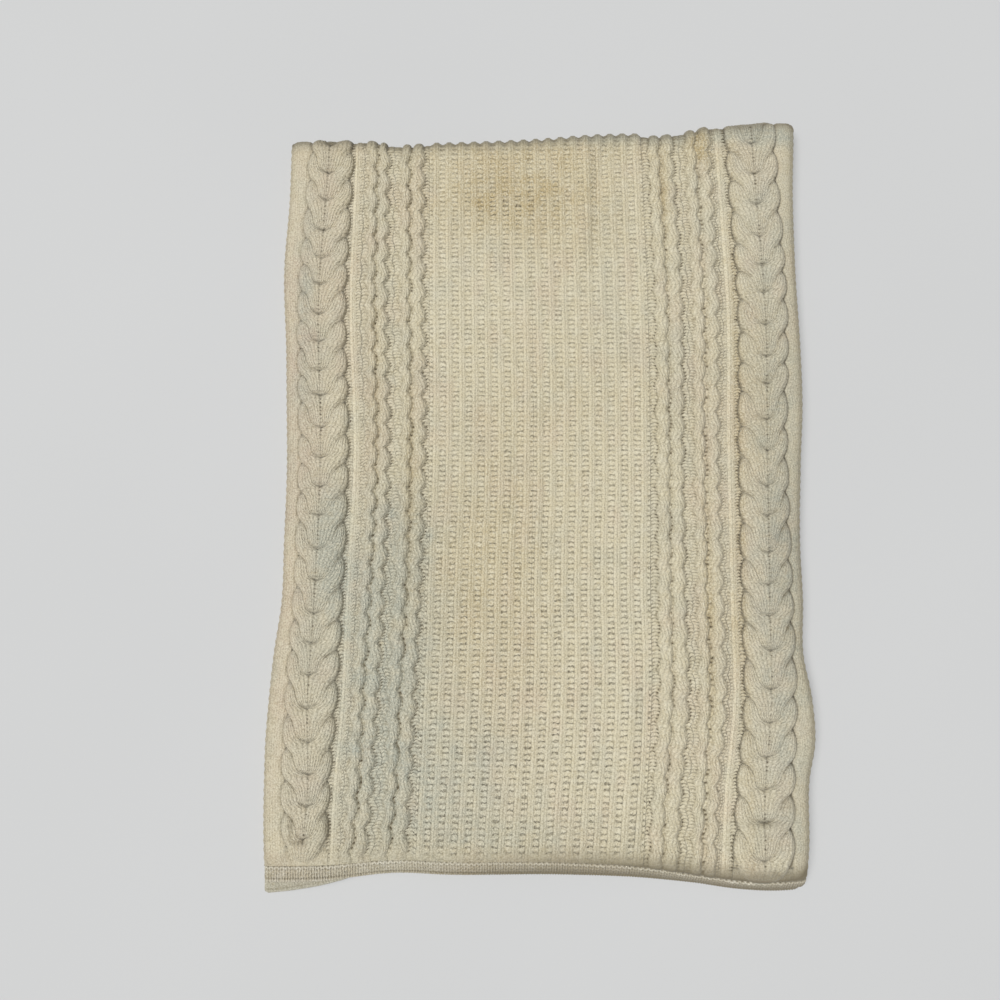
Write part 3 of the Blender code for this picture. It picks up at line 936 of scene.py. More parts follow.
# X of each knit line at the stations, without its sway; a start is a left line, an end a right
KNIT_LINES: dict[str, tuple[float, ...]] = {
    "left_cable_start": (-139.5, -143.0, -140.4, -141.6, -144.6, -145.4, -144.1),
    "left_cable_middle": (-127.1, -130.4, -127.3, -129.1, -131.5, -130.5, -132.9),
    "left_cable_end": (-112.6, -114.9, -111.7, -113.4, -115.6, -118.9, -119.2),
    "left_rib_start": (-111.0, -112.5, -108.4, -111.2, -112.9, -116.7, -117.5),
    "left_rib_end": (-107.4, -108.9, -104.6, -107.6, -109.3, -113.1, -113.9),
    "left_outer_start": (-102.9, -102.6, -100.4, -103.8, -106.5, -109.2, -110.6),
    "left_outer_middle": (-96.8, -97.0, -94.5, -97.2, -100.0, -102.4, -105.0),
    "left_outer_end": (-90.2, -90.4, -87.8, -89.8, -92.3, -95.4, -97.8),
    "left_inner_start": (-83.2, -82.4, -81.2, -84.1, -86.6, -87.3, -90.2),
    "left_inner_middle": (-76.9, -76.1, -74.5, -76.5, -79.2, -81.4, -84.4),
    "left_inner_end": (-69.0, -68.1, -66.9, -68.8, -71.3, -73.6, -75.2),
    "middle_start": (-65.6, -65.0, -64.3, -66.2, -68.3, -70.0, -71.2),
    "middle_end": (63.6, 65.3, 65.2, 63.8, 63.6, 59.8, 57.7),
    "right_inner_start": (67.8, 69.6, 69.1, 68.2, 67.6, 62.9, 60.9),
    "right_inner_middle": (75.1, 77.3, 76.9, 75.9, 75.6, 70.4, 68.6),
    "right_inner_end": (82.9, 85.7, 84.4, 83.7, 84.2, 78.6, 76.6),
    "right_outer_start": (90.3, 91.9, 90.8, 90.4, 90.2, 86.0, 84.2),
    "right_outer_middle": (97.5, 99.4, 97.8, 97.2, 97.1, 92.6, 90.9),
    "right_outer_end": (105.3, 107.2, 105.5, 105.2, 105.1, 99.6, 97.8),
    "right_rib_start": (109.0, 111.9, 110.2, 109.8, 109.4, 102.8, 101.0),
    "right_rib_end": (112.9, 116.0, 114.0, 113.4, 113.1, 106.7, 104.9),
    "right_cable_start": (115.6, 118.8, 116.8, 116.2, 115.8, 109.4, 107.4),
    "right_cable_middle": (130.7, 134.0, 132.6, 131.1, 130.4, 124.6, 124.0),
    "right_cable_end": (145.6, 148.0, 145.1, 145.2, 145.4, 142.0, 140.9),
}

PLAN: dict[str, tuple[Span, ...]] = {
    "left_cable_strip": (
        Span("left_cable_start", 14, PlainKnit()),
        Span("left_cable_middle", 25,
             Twist(LEFT_CABLE, Inner.RIGHT, middle=0.68, tip=0.16, arc=0.3, rim=0.1, seed=5)),
        Span("left_cable_end", 31,
             Twist(LEFT_CABLE, Inner.LEFT, middle=0.68, tip=0.42, arc=0.06, rim=0.28, seed=6)),
    ),
    "left_wave_strip": (
        Span("left_rib_start", 5, PurlKnit((1.85,), spots=(1.0, 0.3))),
        Span("left_rib_end", 8, StraightRib()),
        Span("left_outer_start", 8,
             PurlKnit((1.8, 2.1), bump=0.2, dent=0.2, spots=(0.3, 0.15))),
        *LEFT_OUTER.spans(),
        Span("left_inner_start", 14, PurlKnit((1.75, 1.95), spots=(1.0, 0.1))),
        *LEFT_INNER.spans(),
        Span("middle_start", 6, PurlKnit((2.0,), spots=(1.0, 0.3))),
    ),
    "middle_strip": (
        Span("middle_end", RIBS * RIB_COLUMNS, Ribbing()),
    ),
    "right_wave_strip": (
        Span("right_inner_start", 8, PurlKnit((2.0,), spots=(0.5, 1.0))),
        *RIGHT_INNER.spans(),
        Span("right_outer_start", 13, PurlKnit((1.95, 1.75), spots=(1.1, 0.5))),
        *RIGHT_OUTER.spans(),
        Span("right_rib_start", 8, PurlKnit((1.75, 1.95), bump=0.25, spots=(0.5, 0.0))),
        Span("right_rib_end", 8, StraightRib()),
        Span("right_cable_start", 5, PurlKnit((1.85,), spots=(0.6, 1.2))),
    ),
    "right_cable_strip": (
        Span("right_cable_middle", 30,
             Twist(RIGHT_CABLE, Inner.RIGHT, middle=0.68, tip=0.36, arc=0.13, rim=0.25, seed=7)),
        Span("right_cable_end", 25,
             Twist(RIGHT_CABLE, Inner.LEFT, middle=0.7, tip=0.4, arc=0.16, rim=0.75, seed=8)),
        Span("right_selvedge", 13, PlainKnit()),
    ),
}


# -------- stains, painted shade and finish
@dataclass(frozen=True)
class Tint:
    """One tint: the lattice that breaks it up, and its patches, as a Blotch's numbers."""

    seed: int
    patches: tuple[tuple[float, float, float, float, float], ...]

    def at(self, x: Array, y: Array) -> Array:
        """How much of the tint each point takes: the sum of its patches, broken up unevenly.

        Args:
            x: places across.
            y: places along.

        Returns:
            Shares from 0 to 1.
        """
        total = sum(Blotch(*patch).amount(x, y) for patch in self.patches)
        rough = 1 + 0.35 * mottle(x, y, 7.0, self.seed) + 0.3 * mottle(x, y, 2.1, self.seed + 1)
        return np.clip(total * rough, 0, 1)


# each patch: X, Y, half its size across and along, strength
OCHRE = Tint(61, (
    (-23, 178, 42, 26, 0.75),         # the brown stain near the outer fold
    (-30, 178.5, 4, 4, 0.5),
    (-36, 173, 4, 4, 0.5),
    (24, 172, 34, 38, 0.35),
    (0, 205, 150, 10, 0.25),
    (99, 212, 8, 14, 0.7),
    (-14, -40, 46, 96, 0.16),         # the middle, yellower along its left
    (-38, -48, 34, 80, 0.32),
    (30, 60, 60, 40, 0.15),
    (-20, -200, 120, 16, 0.2),
    (76, 178, 3, 22, 0.7),            # the eyelet lines and purl ribs
    (97, -75, 3, 60, 0.6),
    (112, -70, 3, 40, 0.4),
    (116.5, 0, 2.6, 230, 0.4),
    (-75, 0, 4, 60, 0.35),
    (-96, 60, 4, 50, 0.3),
    (128, 60, 20, 60, 0.25),
))
ROSE = Tint(63, (
    (-138, 0, 28, 400, 0.3),          # both sides
    (136, 0, 28, 400, 0.3),
    (-146, 60, 14, 90, 0.8),
    (-148, -60, 10, 80, 0.5),
    (-125, 140, 16, 60, 0.3),
    (120, -30, 22, 60, 0.25),
    (-20, -120, 24, 40, 0.3),
    (96, 50, 6, 70, 0.35),
    (-100, 40, 5, 70, 0.3),
))
# greyer tone, much of it painted shade and shadow
GREY_AND_SHADE = Tint(65, (
    (-136, 0, 26, 400, 0.06),         # painted shade: greyer along both sides and over the outer fold
    (138, 0, 28, 400, 0.18),
    (140, -20, 16, 200, 0.55),
    (-139, 110, 6, 70, 0.5),
    (0, 217, 190, 7, 1.2),
    (-88, -98, 38, 98, 0.72),         # painted shadow: greyer over the left waves and the lower middle
    (-88, -66, 20, 50, 0.35),
    (-120, -34, 9, 28, 1.2),
    (-75, -32, 13, 24, 0.8),
    (-82, -140, 26, 56, 0.1),
    (-70, -180, 60, 40, 0.35),
    (-38, -148, 18, 26, 0.35),
    (-55, -192, 24, 12, 0.4),
    (-2, -194, 46, 10, 0.4),
    (80, 60, 6, 40, 0.3),
    (40, 120, 10, 60, 0.25),
))
# painted shade in soft patches, where the cables' crossings and edges lie in shade
SHADE = Tint(67, (
    (139, -46, 9, 74, 0.14),          # painted shade along the right cable
    (137.5, -176, 5, 5, 0.25),        # painted shade in the hollows of the right cable's lowest crossings
    (124.8, -187, 9, 2.4, 0.35),
    (129, -214.5, 9, 2.0, 0.2),
    (-139.5, -190, 1.5, 7, 0.42),     # painted shade round the left cable's lowest strand
    (-134, -198, 5, 1.5, 0.42),
    (-119.5, -189, 1.8, 9, 0.4),
))


Socket = bpy.types.NodeSocket
Colour = tuple[float, float, float]


class Nodes:
    """Short ways to add shader nodes to one material."""

    def __init__(self, name: str) -> None:
        """Start a material with only its shader and output.

        Args:
            name: the material's name.
        """
        self.material = bpy.data.materials.new(name)
        self.material.use_nodes = True
        self.tree = self.material.node_tree
        self.shader = self.tree.nodes["Principled BSDF"]

    def add(self, kind: str) -> bpy.types.Node:
        """A new node of one kind."""
        return self.tree.nodes.new("ShaderNode" + kind)

    def fill(self, node: bpy.types.Node, inputs: dict) -> bpy.types.Node:
        """Set or link a node's inputs.

        Args:
            node: the node.
            inputs: for each input, by name or number, a plain value or another node's output.

        Returns:
            The same node.
        """
        for key, value in inputs.items():
            if isinstance(value, Socket):
                self.tree.links.new(value, node.inputs[key])
            else:
                node.inputs[key].default_value = value
        return node

    def math(self, operation: str, *values: Socket | float) -> Socket:
        """One sum.

        Args:
            operation: the kind of sum, in the Math node's words.
            values: sockets or plain numbers.

        Returns:
            Its result.
        """
        node = self.add("Math")
        node.operation = operation
        return self.fill(node, dict(enumerate(values))).outputs[0]

    def times(self, first: Socket | float, second: Socket | float) -> Socket:
        """The product of two values."""
        return self.math("MULTIPLY", first, second)

    def swing(self, turns: Socket) -> Socket:
        """A cosine that counts whole turns."""
        return self.math("COSINE", self.times(turns, 2 * np.pi))

    def noise(self, scale: float, detail: float) -> Socket:
        """Noise over Object coordinates.

        Args:
            scale: cycles for each metre.
            detail: how many finer layers it has.

        Returns:
            Its values, mostly from 0.3 to 0.7.
        """
        place = self.add("TexCoord").outputs["Object"]
        noise = self.add("TexNoise")
        self.fill(noise, {"Vector": place, "Scale": scale, "Detail": detail})
        return noise.outputs["Fac"]

    def attribute(self, name: str) -> Socket:
        """One of the piece's own attributes, or 0 where it has none of that name."""
        node = self.add("Attribute")
        node.attribute_name = name
        return node.outputs["Fac"]

    def span(self, value: Socket, low: float, high: float, to_low: float,
             to_high: float) -> Socket:
        """Carry a value from one range to another, and hold it at its ends.

        Args:
            value: the value.
            low: start of its range.
            high: end of its range.
            to_low: what the start becomes.
            to_high: what the end becomes.

        Returns:
            The new value.
        """
        inputs = {"Value": value, "From Min": low, "From Max": high,
                  "To Min": to_low, "To Max": to_high}
        return self.fill(self.add("MapRange"), inputs).outputs["Result"]

    def mix(self, under: Socket, over: Socket | tuple, share: Socket,
            kind: str = "FLOAT") -> Socket:
        """One value or colour over another.

        Args:
            under: the value or colour where the share is 0.
            over: the one where the share is 1.
            share: how much of the second shows.
            kind: FLOAT for values, RGBA for colours.

        Returns:
            The mixed value or colour.
        """
        node = self.add("Mix")
        node.data_type = kind
        return self.fill(node, {"A": under, "B": over, "Factor": share}).outputs["Result"]


@dataclass(frozen=True)
class Wool:
    """Undyed wool: cream, yellower where it is stained, with painted shade down between the
    stitches.
    """

    name: str = "cream_wool"
    cream: Colour = (0.78, 0.71, 0.515)
    # paler tone, and also the painted highlight on the hem's zigzag and chain
    pale: Colour = (0.87, 0.82, 0.65)
    ochre: Colour = (0.62, 0.50, 0.28)
    rose: Colour = (0.74, 0.60, 0.46)
    # greyer tone, much of it used as painted shade and shadow
    grey: Colour = (0.5, 0.535, 0.47)
    # painted shade, laid into grooves, gaps, hollows and cloth turned from the light; it also
    # darkens some fibres of the nap
    painted_shade: Colour = (0.17, 0.14, 0.085)
    # painted shade in the knit's holes
    deep: Colour = (0.075, 0.055, 0.03)
    roughness: float = 0.95
    specular: float = 0.2
    sheen: float = 0.3
    sheen_roughness: float = 0.6
    sheen_tint: Colour = (0.95, 0.92, 0.84)
    stitch_shade: float = 0.42      # painted shade in the grooves between stitches
    stitch_bump: float = 0.00055    # their depth, in metres
    fibre_bump: float = 0.00045     # depth of the nap, in metres

    def stitch(self, nodes: Nodes) -> tuple[Socket, Socket]:
        """Height of single stitches, and a hole once a row, drawn over the stitch map.

        Legs are half waves across, each swelling once a row, one leg half a turn behind the
        next. Bars are waves along, bent in an arc over their column, with sharp valleys. Both
        are jittered by noise, so no two are alike.

        Args:
            nodes: the material's nodes.

        Returns:
            The height and the hole, each from 0 to 1.
        """
        place = nodes.add("UVMap")
        place.uv_map = "stitches"
        split = nodes.fill(nodes.add("SeparateXYZ"), {0: place.outputs["UV"]})
        jitter = nodes.span(nodes.noise(520.0, 2.0), 0.3, 0.7, -0.18, 0.18)
        slip = nodes.span(nodes.noise(610.0, 2.0), 0.3, 0.7, -0.2, 0.2)
        wale = nodes.math("ADD", split.outputs[0], jitter)
        course = nodes.math("ADD", split.outputs[1], slip)

        across = nodes.math("ABSOLUTE", nodes.math("SINE", nodes.times(wale, np.pi)))
        lean = nodes.times(nodes.math("PINGPONG", wale, 1.0), 0.5)
        swell = nodes.swing(nodes.math("ADD", course, lean))
        leg = nodes.times(nodes.math("POWER", across, 0.7),
                          nodes.math("MULTIPLY_ADD", swell, 0.28, 0.72))

        off = nodes.math("SUBTRACT", nodes.math("FRACT", nodes.times(wale, 0.5)), 0.5)
        arc = nodes.math("MULTIPLY_ADD", nodes.times(off, off), 0.5, course)
        valley = nodes.math("MULTIPLY_ADD", nodes.swing(arc), -0.5, 0.5)
        bar = nodes.math("SUBTRACT", 1.0, nodes.math("POWER", valley, 8.0))
        between = nodes.math("MULTIPLY_ADD", nodes.swing(course), -0.5, 0.5)
        return (nodes.mix(leg, bar, nodes.attribute("bars")),
                nodes.math("POWER", between, 3.0))

    def colour(self, nodes: Nodes, groove: Socket, hole: Socket, fibre: Socket) -> Socket:
        """Cream wool, and over it its tints, paler and darker fibres, and painted shade in grooves
        and holes.

        Args:
            nodes: the material's nodes.
            groove: how deep in a groove between stitches each place lies, 0 to 1.
            hole: how far in the hole of its row, 0 to 1.
            fibre: fine noise, for the nap.

        Returns:
            The colour.
        """
        kept = nodes.span(nodes.noise(290.0, 2.0), 0.42, 0.56, 0.3, 1.0)
        layers = (
            (self.pale, nodes.span(nodes.noise(150.0, 4.0), 0.42, 0.68, 0.0, 0.6)),
            (self.rose, nodes.attribute("rose")),
            (self.grey, nodes.attribute("grey")),
            (self.ochre, nodes.attribute("ochre")),
            (self.ochre, nodes.span(nodes.noise(380.0, 3.0), 0.56, 0.85, 0.0, 0.4)),
            (self.pale, nodes.span(fibre, 0.5, 0.64, 0.0, 0.7)),
            (self.painted_shade, nodes.span(fibre, 0.5, 0.34, 0.0, 0.36)),
            # painted shade in the grooves between stitches
            (self.painted_shade, nodes.times(groove, self.stitch_shade)),
            # painted highlight on the hem's zigzag and chain
            (self.pale, nodes.attribute("pale")),
            # painted shade from the piece's own attribute
            (self.painted_shade, nodes.attribute("painted_shade")),
            # painted shade in the holes, once a row
            (self.deep, nodes.times(nodes.times(hole, kept), nodes.attribute("dots"))))
        colour = nodes.add("RGB").outputs[0]
        colour.default_value = (*self.cream, 1.0)
        for over, share in layers:
            colour = nodes.mix(colour, (*over, 1.0), share, "RGBA")
        return colour

    def make(self) -> bpy.types.Material:
        """Build the material.

        Returns:
            A material that reads the piece's tint attributes, its stitch map and Object
            coordinates.
        """
        nodes = Nodes(self.name)
        stitch, hole = self.stitch(nodes)
        crisp = nodes.attribute("crisp")
        fibre = nodes.noise(1150.0, 5.0)
        groove = nodes.times(nodes.math("SUBTRACT", 1.0, stitch), crisp)
        knit = nodes.fill(nodes.add("Bump"), {
            "Distance": self.stitch_bump, "Height": nodes.times(stitch, crisp)})
        nap = nodes.fill(nodes.add("Bump"), {
            "Distance": self.fibre_bump, "Height": fibre, "Normal": knit.outputs["Normal"]})
        nodes.fill(nodes.shader, {
            "Base Color": self.colour(nodes, groove, hole, fibre),
            "Roughness": self.roughness, "Specular IOR Level": self.specular,
            "Sheen Weight": self.sheen, "Sheen Roughness": self.sheen_roughness,
            "Sheen Tint": (*self.sheen_tint, 1.0), "Normal": nap.outputs["Normal"]})
        return nodes.material


# -------- meshes
def put(name: str, data: bpy.types.ID) -> bpy.types.Object:
    """Put a new object with this mesh, lamp or camera into the scene."""
    thing = bpy.data.objects.new(name, data)
    bpy.context.scene.collection.objects.link(thing)
    return thing


def to_mesh(name: str, shell: Array, stitches: Array, tints: dict[str, Array],
            material: bpy.types.Material, sharp: list[int] | None = None) -> bpy.types.Object:
    """Put one piece into the scene: a tube of rows x ring points, closed at both ends.

    Args:
        name: the piece's name.
        shell: its points, rows x ring x 3, in millimetres.
        stitches: each point's place in the stitch map, rows x ring x 2. Where it has two more
            numbers, they are its place for the faces that end at it.
        tints: each point's share of the named tints, rows x ring.
        material: its finish.
        sharp: places in the ring of flat faces that meet the others at a sharp edge. They are
            listed first, so a shared corner keeps the round faces' direction.

    Returns:
        The new object, at the origin.
    """
    rows, ring = shell.shape[:2]
    index = np.arange(rows * ring).reshape(rows, ring)
    onward = np.roll(index, -1, axis=1)
    faces = np.stack((index[:-1], onward[:-1], onward[1:], index[1:]), axis=-1)
    caps = [index[0, ::-1].tolist(), index[-1].tolist()]
    picked = np.array(sharp or [], dtype=int)
    walls = faces[:, picked].reshape(-1, 4)
    faces = np.concatenate((walls, np.delete(faces, picked, axis=1).reshape(-1, 4)))
    mesh = bpy.data.meshes.new(name)
    mesh.from_pydata((shell.reshape(-1, 3) * METRES).tolist(), [], caps + faces.tolist())

    corners = np.empty(len(mesh.loops), dtype=np.int32)
    mesh.loops.foreach_get("vertex_index", corners)
    places = stitches.reshape(rows * ring, -1)
    spots = places[corners, :2].astype(np.float32)
    sides = spots[-4 * len(faces):].reshape(-1, 4, 2)
    sides[:, 1:3] = places[faces[:, 1:3], -2:]
    mesh.uv_layers.new(name="stitches").uv.foreach_set("vector", spots.ravel())
    for key, values in tints.items():
        holder = mesh.attributes.new(key, "FLOAT", "POINT")
        holder.data.foreach_set("value", values.ravel().astype(np.float32))
    smooth = np.arange(len(mesh.polygons)) >= len(caps) + len(walls)
    mesh.polygons.foreach_set("use_smooth", smooth)
    mesh.materials.append(material)
    mesh.update()
    piece = put(name, mesh)
    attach(piece, "root")
    return piece


# -------- the top layer
class Placed(NamedTuple):
    """A span with its place in the whole surface."""

    strip: str
    before: Span                # the span on its left, whose right line is its left one
    span: Span
    first: int                  # its first column
    last: int                   # its last column, which is the next span's first


class Cloth(NamedTuple):
    """The middle of the top layer's wall, without its stitches: rows x columns."""

    points: Array       # X, Y and Z
    normal: Array       # which way the cloth faces
    distance: Array     # millimetres from the seam
    along: Array        # place along the cloth: its Y, which goes on growing round the fold
    turns: Array        # radians turned round the fold, one for each row


def facing_of(points: Array) -> Array:
    """Which way a grid of points faces: the cross product of its steps across and along."""
    normal = np.cross(np.gradient(points, axis=1), np.gradient(points, axis=0))
    return normal / np.linalg.norm(normal, axis=-1, keepdims=True)


@dataclass(frozen=True)
class TopKnit:
    """The whole top layer with its turn round the outer fold, cut into strips."""

    outline: Outline
    material: bpy.types.Material
    row_step: float = 0.68          # spacing of the rows on the flat
    flat_run: float = 415.0         # about how far those rows run
    fold_rows: int = 30
    edge_columns: int = 8           # columns round each selvedge
    under_columns: int = 5          # columns of a strip's plain underside
    seam_fade: float = 9.0          # relief dies away over this much before the seam
    seam_left: float = 0.30         # share of the relief left at the seam
    fold_fade: tuple[float, float] = (95.0, 150.0)      # degrees of turn
    chain: float = 0.22             # height of the loops along the selvedges

    def line(self, name: str, y: Array) -> Array:
        """X of one named line of the knit.

        Args:
            name: a selvedge, or one of the knit lines.
            y: places along.

        Returns:
            The line's X there: a curve through its stations, and its sway.
        """
        if name == "left_selvedge":
            return self.outline.left(y) + HALF_CLOTH
        if name == "right_selvedge":
            return self.outline.right(y) - HALF_CLOTH
        x = Curve(STATIONS, KNIT_LINES[name]).at(np.clip(y, -LINE_END, LINE_END))
        return x + SWAYS[name].at(y) * ease((y + LINE_END) / 12) if name in SWAYS else x

    def plan_columns(self) -> list[Placed]:
        """Number the columns of the whole surface, span by span.

        Returns:
            Each span with its strip and its columns, from the left.
        """
        spans, first, before = [], 0, Span("left_selvedge", 0, PlainKnit())
        for strip, parts in PLAN.items():
            for span in parts:
                spans.append(Placed(strip, before, span, first, first + span.columns))
                first += span.columns
                before = span
        return spans

    def shares(self, span: Span) -> Array:
        """Even shares of a span's width, one for each of its columns and both ends."""
        return np.linspace(0, 1, span.columns + 1)

    def x_of(self, spans: list[Placed], y: Array) -> Array:
        """X of every column.

        Args:
            spans: the plan's columns.
            y: places along, rows x columns.

        Returns:
            X as rows x columns, spread evenly between each span's two lines.
        """
        x = np.empty_like(y)
        for _, before, span, first, last in spans:
            part = y[:, first:last + 1]
            start = self.line(before.to, part) + before.shift
            end = self.line(span.to, part) + span.shift
            x[:, first:last + 1] = start + (end - start) * self.shares(span)
        return x

    def lay(self, spans: list[Placed]) -> Cloth:
        """Lay the cloth, without its stitches.

        Rows run from the seam to the fold's axis, evenly in each column, then round the fold
        as a half circle about the axis. The cloth turns down before the seam along a circle,
        sags at both selvedges and has its creases added.

        Args:
            spans: the plan's columns.

        Returns:
            The cloth.
        """
        count = spans[-1].last + 1
        near = self.x_of(spans, np.full((1, count), -END_Y))[0]
        far = self.x_of(spans, np.full((1, count), END_Y))[0]
        seam, axis = self.outline.seam.at(near), self.outline.fold_axis(far)
        rows = int(round(self.flat_run / self.row_step))
        distance = (axis - seam) * np.linspace(0, 1, rows + 1)[:, None]
        y = seam + distance
        x = self.x_of(spans, y)
        radius = ROLL / np.sin(self.outline.seam_turn(near))
        run = np.clip(ROLL - distance, 0, ROLL)
        z = TOP_FLOOR - radius + np.sqrt(radius ** 2 - run ** 2)
        inward = np.minimum(x - x[:, :1], x[:, -1:] - x)
        z = z - SAG * fading(inward, SAG_REACH)
        loose = ease(distance / 14.0) * ease((axis - y) / 10.0)
        z = z + loose * sum(crease.rise(x, y) for crease in CREASES)
        z = z + loose * 0.22 * mottle(x, y, 26.0, 41)

        turn = np.linspace(0, np.pi, self.fold_rows + 1)[1:, None]
        middle, reach = (z[-1] + HALF_CLOTH) / 2, (z[-1] - HALF_CLOTH) / 2
        fold = np.stack((np.broadcast_to(x[-1], (len(turn), count)),
                         axis + reach * np.sin(turn), middle + reach * np.cos(turn)), axis=-1)
        points = np.concatenate((np.stack((x, y, z), axis=-1), fold))
        distance = np.concatenate((distance, np.full(fold.shape[:2], self.flat_run)))
        along = np.concatenate((y, axis + (reach + HALF_CLOTH) * turn))
        turns = np.concatenate((np.zeros(rows + 1), turn[:, 0]))
        return Cloth(points, facing_of(points), distance, along, turns)

    def knit(self, spans: list[Placed], cloth: Cloth) -> dict[str, Array]:
        """The relief of the whole surface, span by span.

        Args:
            spans: the plan's columns.
            cloth: the cloth to knit.

        Returns:
            Each field of the relief, by name, as rows x columns, and the stitch map's places
            for the faces that end at each column.
        """
        whole = {key: np.zeros(cloth.along.shape) for key in Relief._fields}
        endings = np.zeros((2, *cloth.along.shape))
        for _, _, span, first, last in spans:
            x = cloth.points[:, first:last + 1, 0]
            share = np.broadcast_to(self.shares(span), x.shape)
            width = x[:, -1:] - x[:, :1] + 0 * share
            patch = Patch(share, share * width, width, cloth.along[:, first:last + 1])
            relief = span.knit.relief(patch)
            kept = whole["height"][:, first].copy()
            for key, values in relief._asdict().items():
                whole[key][:, first:last + 1] = values
            endings[0, :, first + 1:last + 1] = relief.wale[:, 1:]
            endings[1, :, first + 1:last + 1] = relief.course[:, 1:]
            if first:
                whole["height"][:, first] = np.minimum(kept, relief.height[:, 0])
        whole["wale_end"], whole["course_end"] = endings
        return whole

    def fade(self, cloth: Cloth) -> Array:
        """Share of the relief that is left: less at the seam, none far round the fold."""
        low, high = np.radians(self.fold_fade)
        at_seam = self.seam_left + (1 - self.seam_left) * ease(cloth.distance / self.seam_fade)
        return at_seam * (1 - ease((cloth.turns - low) / (high - low)))[:, None]

    def shade(self, cloth: Cloth) -> Array:
        """Painted shade that goes with place alone.

        It is the sum of soft steps: before the seam and right at it, more towards the right;
        just before the fold and round it; and in from each selvedge, narrow and wide.

        Args:
            cloth: the cloth.

        Returns:
            The painted shade as rows x columns.
        """
        x, y = cloth.points[..., 0], cloth.points[..., 1]
        from_left, from_right = x - x[:, :1], x[:, -1:] - x
        # painted shade: the cloth rolls down to the seam, more at the right, turns over the fold
        # and rounds off at the selvedges
        rightward = ease((x + 90) / 190)
        before_seam = (0.18 + 0.62 * rightward) * fading(cloth.distance, 13.0) ** 1.4
        at_seam = (0.05 + 0.15 * rightward) * fading(cloth.distance, 2.6)
        before_fold = 0.34 * ease((y - self.outline.fold.at(x) + 11) / 9)
        round_fold = 0.35 * ease(cloth.turns / 0.7)[:, None]
        left = 0.14 * fading(from_left, 3.0) + 0.09 * fading(from_left, 16.0)
        right = 0.3 * fading(from_right, 4.0) + 0.19 * fading(from_right, 15.0)
        return (before_seam + at_seam + before_fold + round_fold + left + right
                + SHADE.at(x, cloth.along))

    def tints(self, cloth: Cloth, knit: dict[str, Array], height: Array,
              fade: Array) -> dict[str, Array]:
        """Each tint's share at every point, painted shade among them, and how its stitches are
        drawn.

        Args:
            cloth: the cloth.
            knit: its relief.
            height: the relief's height, faded.
            fade: share of the relief that is left.

        Returns:
            The shares by name, as rows x columns.
        """
        x, along = cloth.points[..., 0], cloth.along
        # painted shade where the relief is sunk below its neighbours
        painted_shade = 0.28 * np.clip(sunk(height, 4, 3) / 0.9, 0, 1) * ease(cloth.distance / 12.0)
        return {
            # painted shade: sunk places, the knit's painted gaps and the shade of place
            "painted_shade": np.clip(painted_shade + knit["gap"] * fade + self.shade(cloth), 0, 0.95),
            "ochre": OCHRE.at(x, along),
            "rose": 0.65 * ROSE.at(x, along) + 0.4 * flecks(x, along, 9.0, 101),
            "grey": 0.75 * GREY_AND_SHADE.at(x, along) + 0.24 * flecks(x, along, 8.0, 103),
            "bars": knit["bars"],
            "crisp": knit["crisp"] * (0.15 + 0.85 * fade),
            "dots": knit["dots"] * ease(cloth.distance / 7.0) * np.minimum(fade * 1.5, 1),
        }

    def build(self) -> list[bpy.types.Object]:
        """Work out the surface, and make one closed piece of each strip.

        Returns:
            The strips, from the left.
        """
        spans = self.plan_columns()
        cloth = self.lay(spans)
        knit = self.knit(spans, cloth)
        fade = self.fade(cloth)
        uneven = 0.06 * mottle(cloth.points[..., 0], cloth.along, 1.3, 51)
        height = (knit["height"] + uneven) * fade
        tints = self.tints(cloth, knit, height, fade)
        surface = above_ground(cloth.points + cloth.normal * (HALF_CLOTH + height)[..., None])
        keys = ("wale", "course", "wale_end", "course_end")
        stitches = np.stack([knit[key] for key in keys], axis=-1)
        return [self.strip(name, cloth, surface, start, end, tints, stitches)
                for name, start, end in self.cuts(spans)]

    def cuts(self, spans: list[Placed]) -> list[tuple[str, int, int]]:
        """Where the surface is cut: at each strip's sides, and halfway over the ribbing.

        Args:
            spans: the plan's columns.

        Returns:
            Each piece's name, first column and last column.
        """
        pieces = []
        for strip in PLAN:
            first = min(placed.first for placed in spans if placed.strip == strip)
            last = max(placed.last for placed in spans if placed.strip == strip)
            if strip == "middle_strip":
                half = first + RIBS // 2 * RIB_COLUMNS
                pieces += [(f"{strip}_left", first, half), (f"{strip}_right", half, last)]
            else:
                pieces.append((strip, first, last))
        return pieces

    def strip(self, name: str, cloth: Cloth, surface: Array, start: int, end: int,
              tints: dict[str, Array], stitches: Array) -> bpy.types.Object:
        """Close one strip: knit on top, round at a selvedge, plain underneath.

        Args:
            name: the piece's name.
            cloth: the whole cloth.
            surface: its knitted face.
            start: first column of the strip.
            end: last column of the strip.
            tints: shares of each tint, for the whole surface.
            stitches: the whole stitch map: the places for the faces that start from each
                point, and for those that end at it.

        Returns:
            The strip.
        """
        at_left, at_right = start == 0, end == surface.shape[1] - 1
        parts, pick = [surface[:, start:end + 1]], [np.arange(start, end + 1)]
        if at_right:
            parts.append(self.selvedge(cloth, surface, end, 1.0))
            pick.append(np.full(self.edge_columns, end))
        under = np.round(np.linspace(end, start, self.under_columns)).astype(int)
        parts.append(above_ground(cloth.points[:, under] - cloth.normal[:, under] * HALF_CLOTH))
        pick.append(under)
        if at_left:
            parts.append(self.selvedge(cloth, surface, start, -1.0)[:, ::-1])
            pick.append(np.full(self.edge_columns, start))
        shell, columns = np.concatenate(parts, axis=1), np.concatenate(pick)
        sharp = ([] if at_right else [end - start]) + ([] if at_left else [len(columns) - 1])
        piece = to_mesh(name, shell, stitches[:, columns],
                        {key: value[:, columns] for key, value in tints.items()},
                        self.material, sharp)
        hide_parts("upper_layer")
        wide = float(np.mean(cloth.points[:, end, 0] - cloth.points[:, start, 0]))
        wide += 0.5 * np.pi * HALF_CLOTH * (at_left + at_right)
        return piece

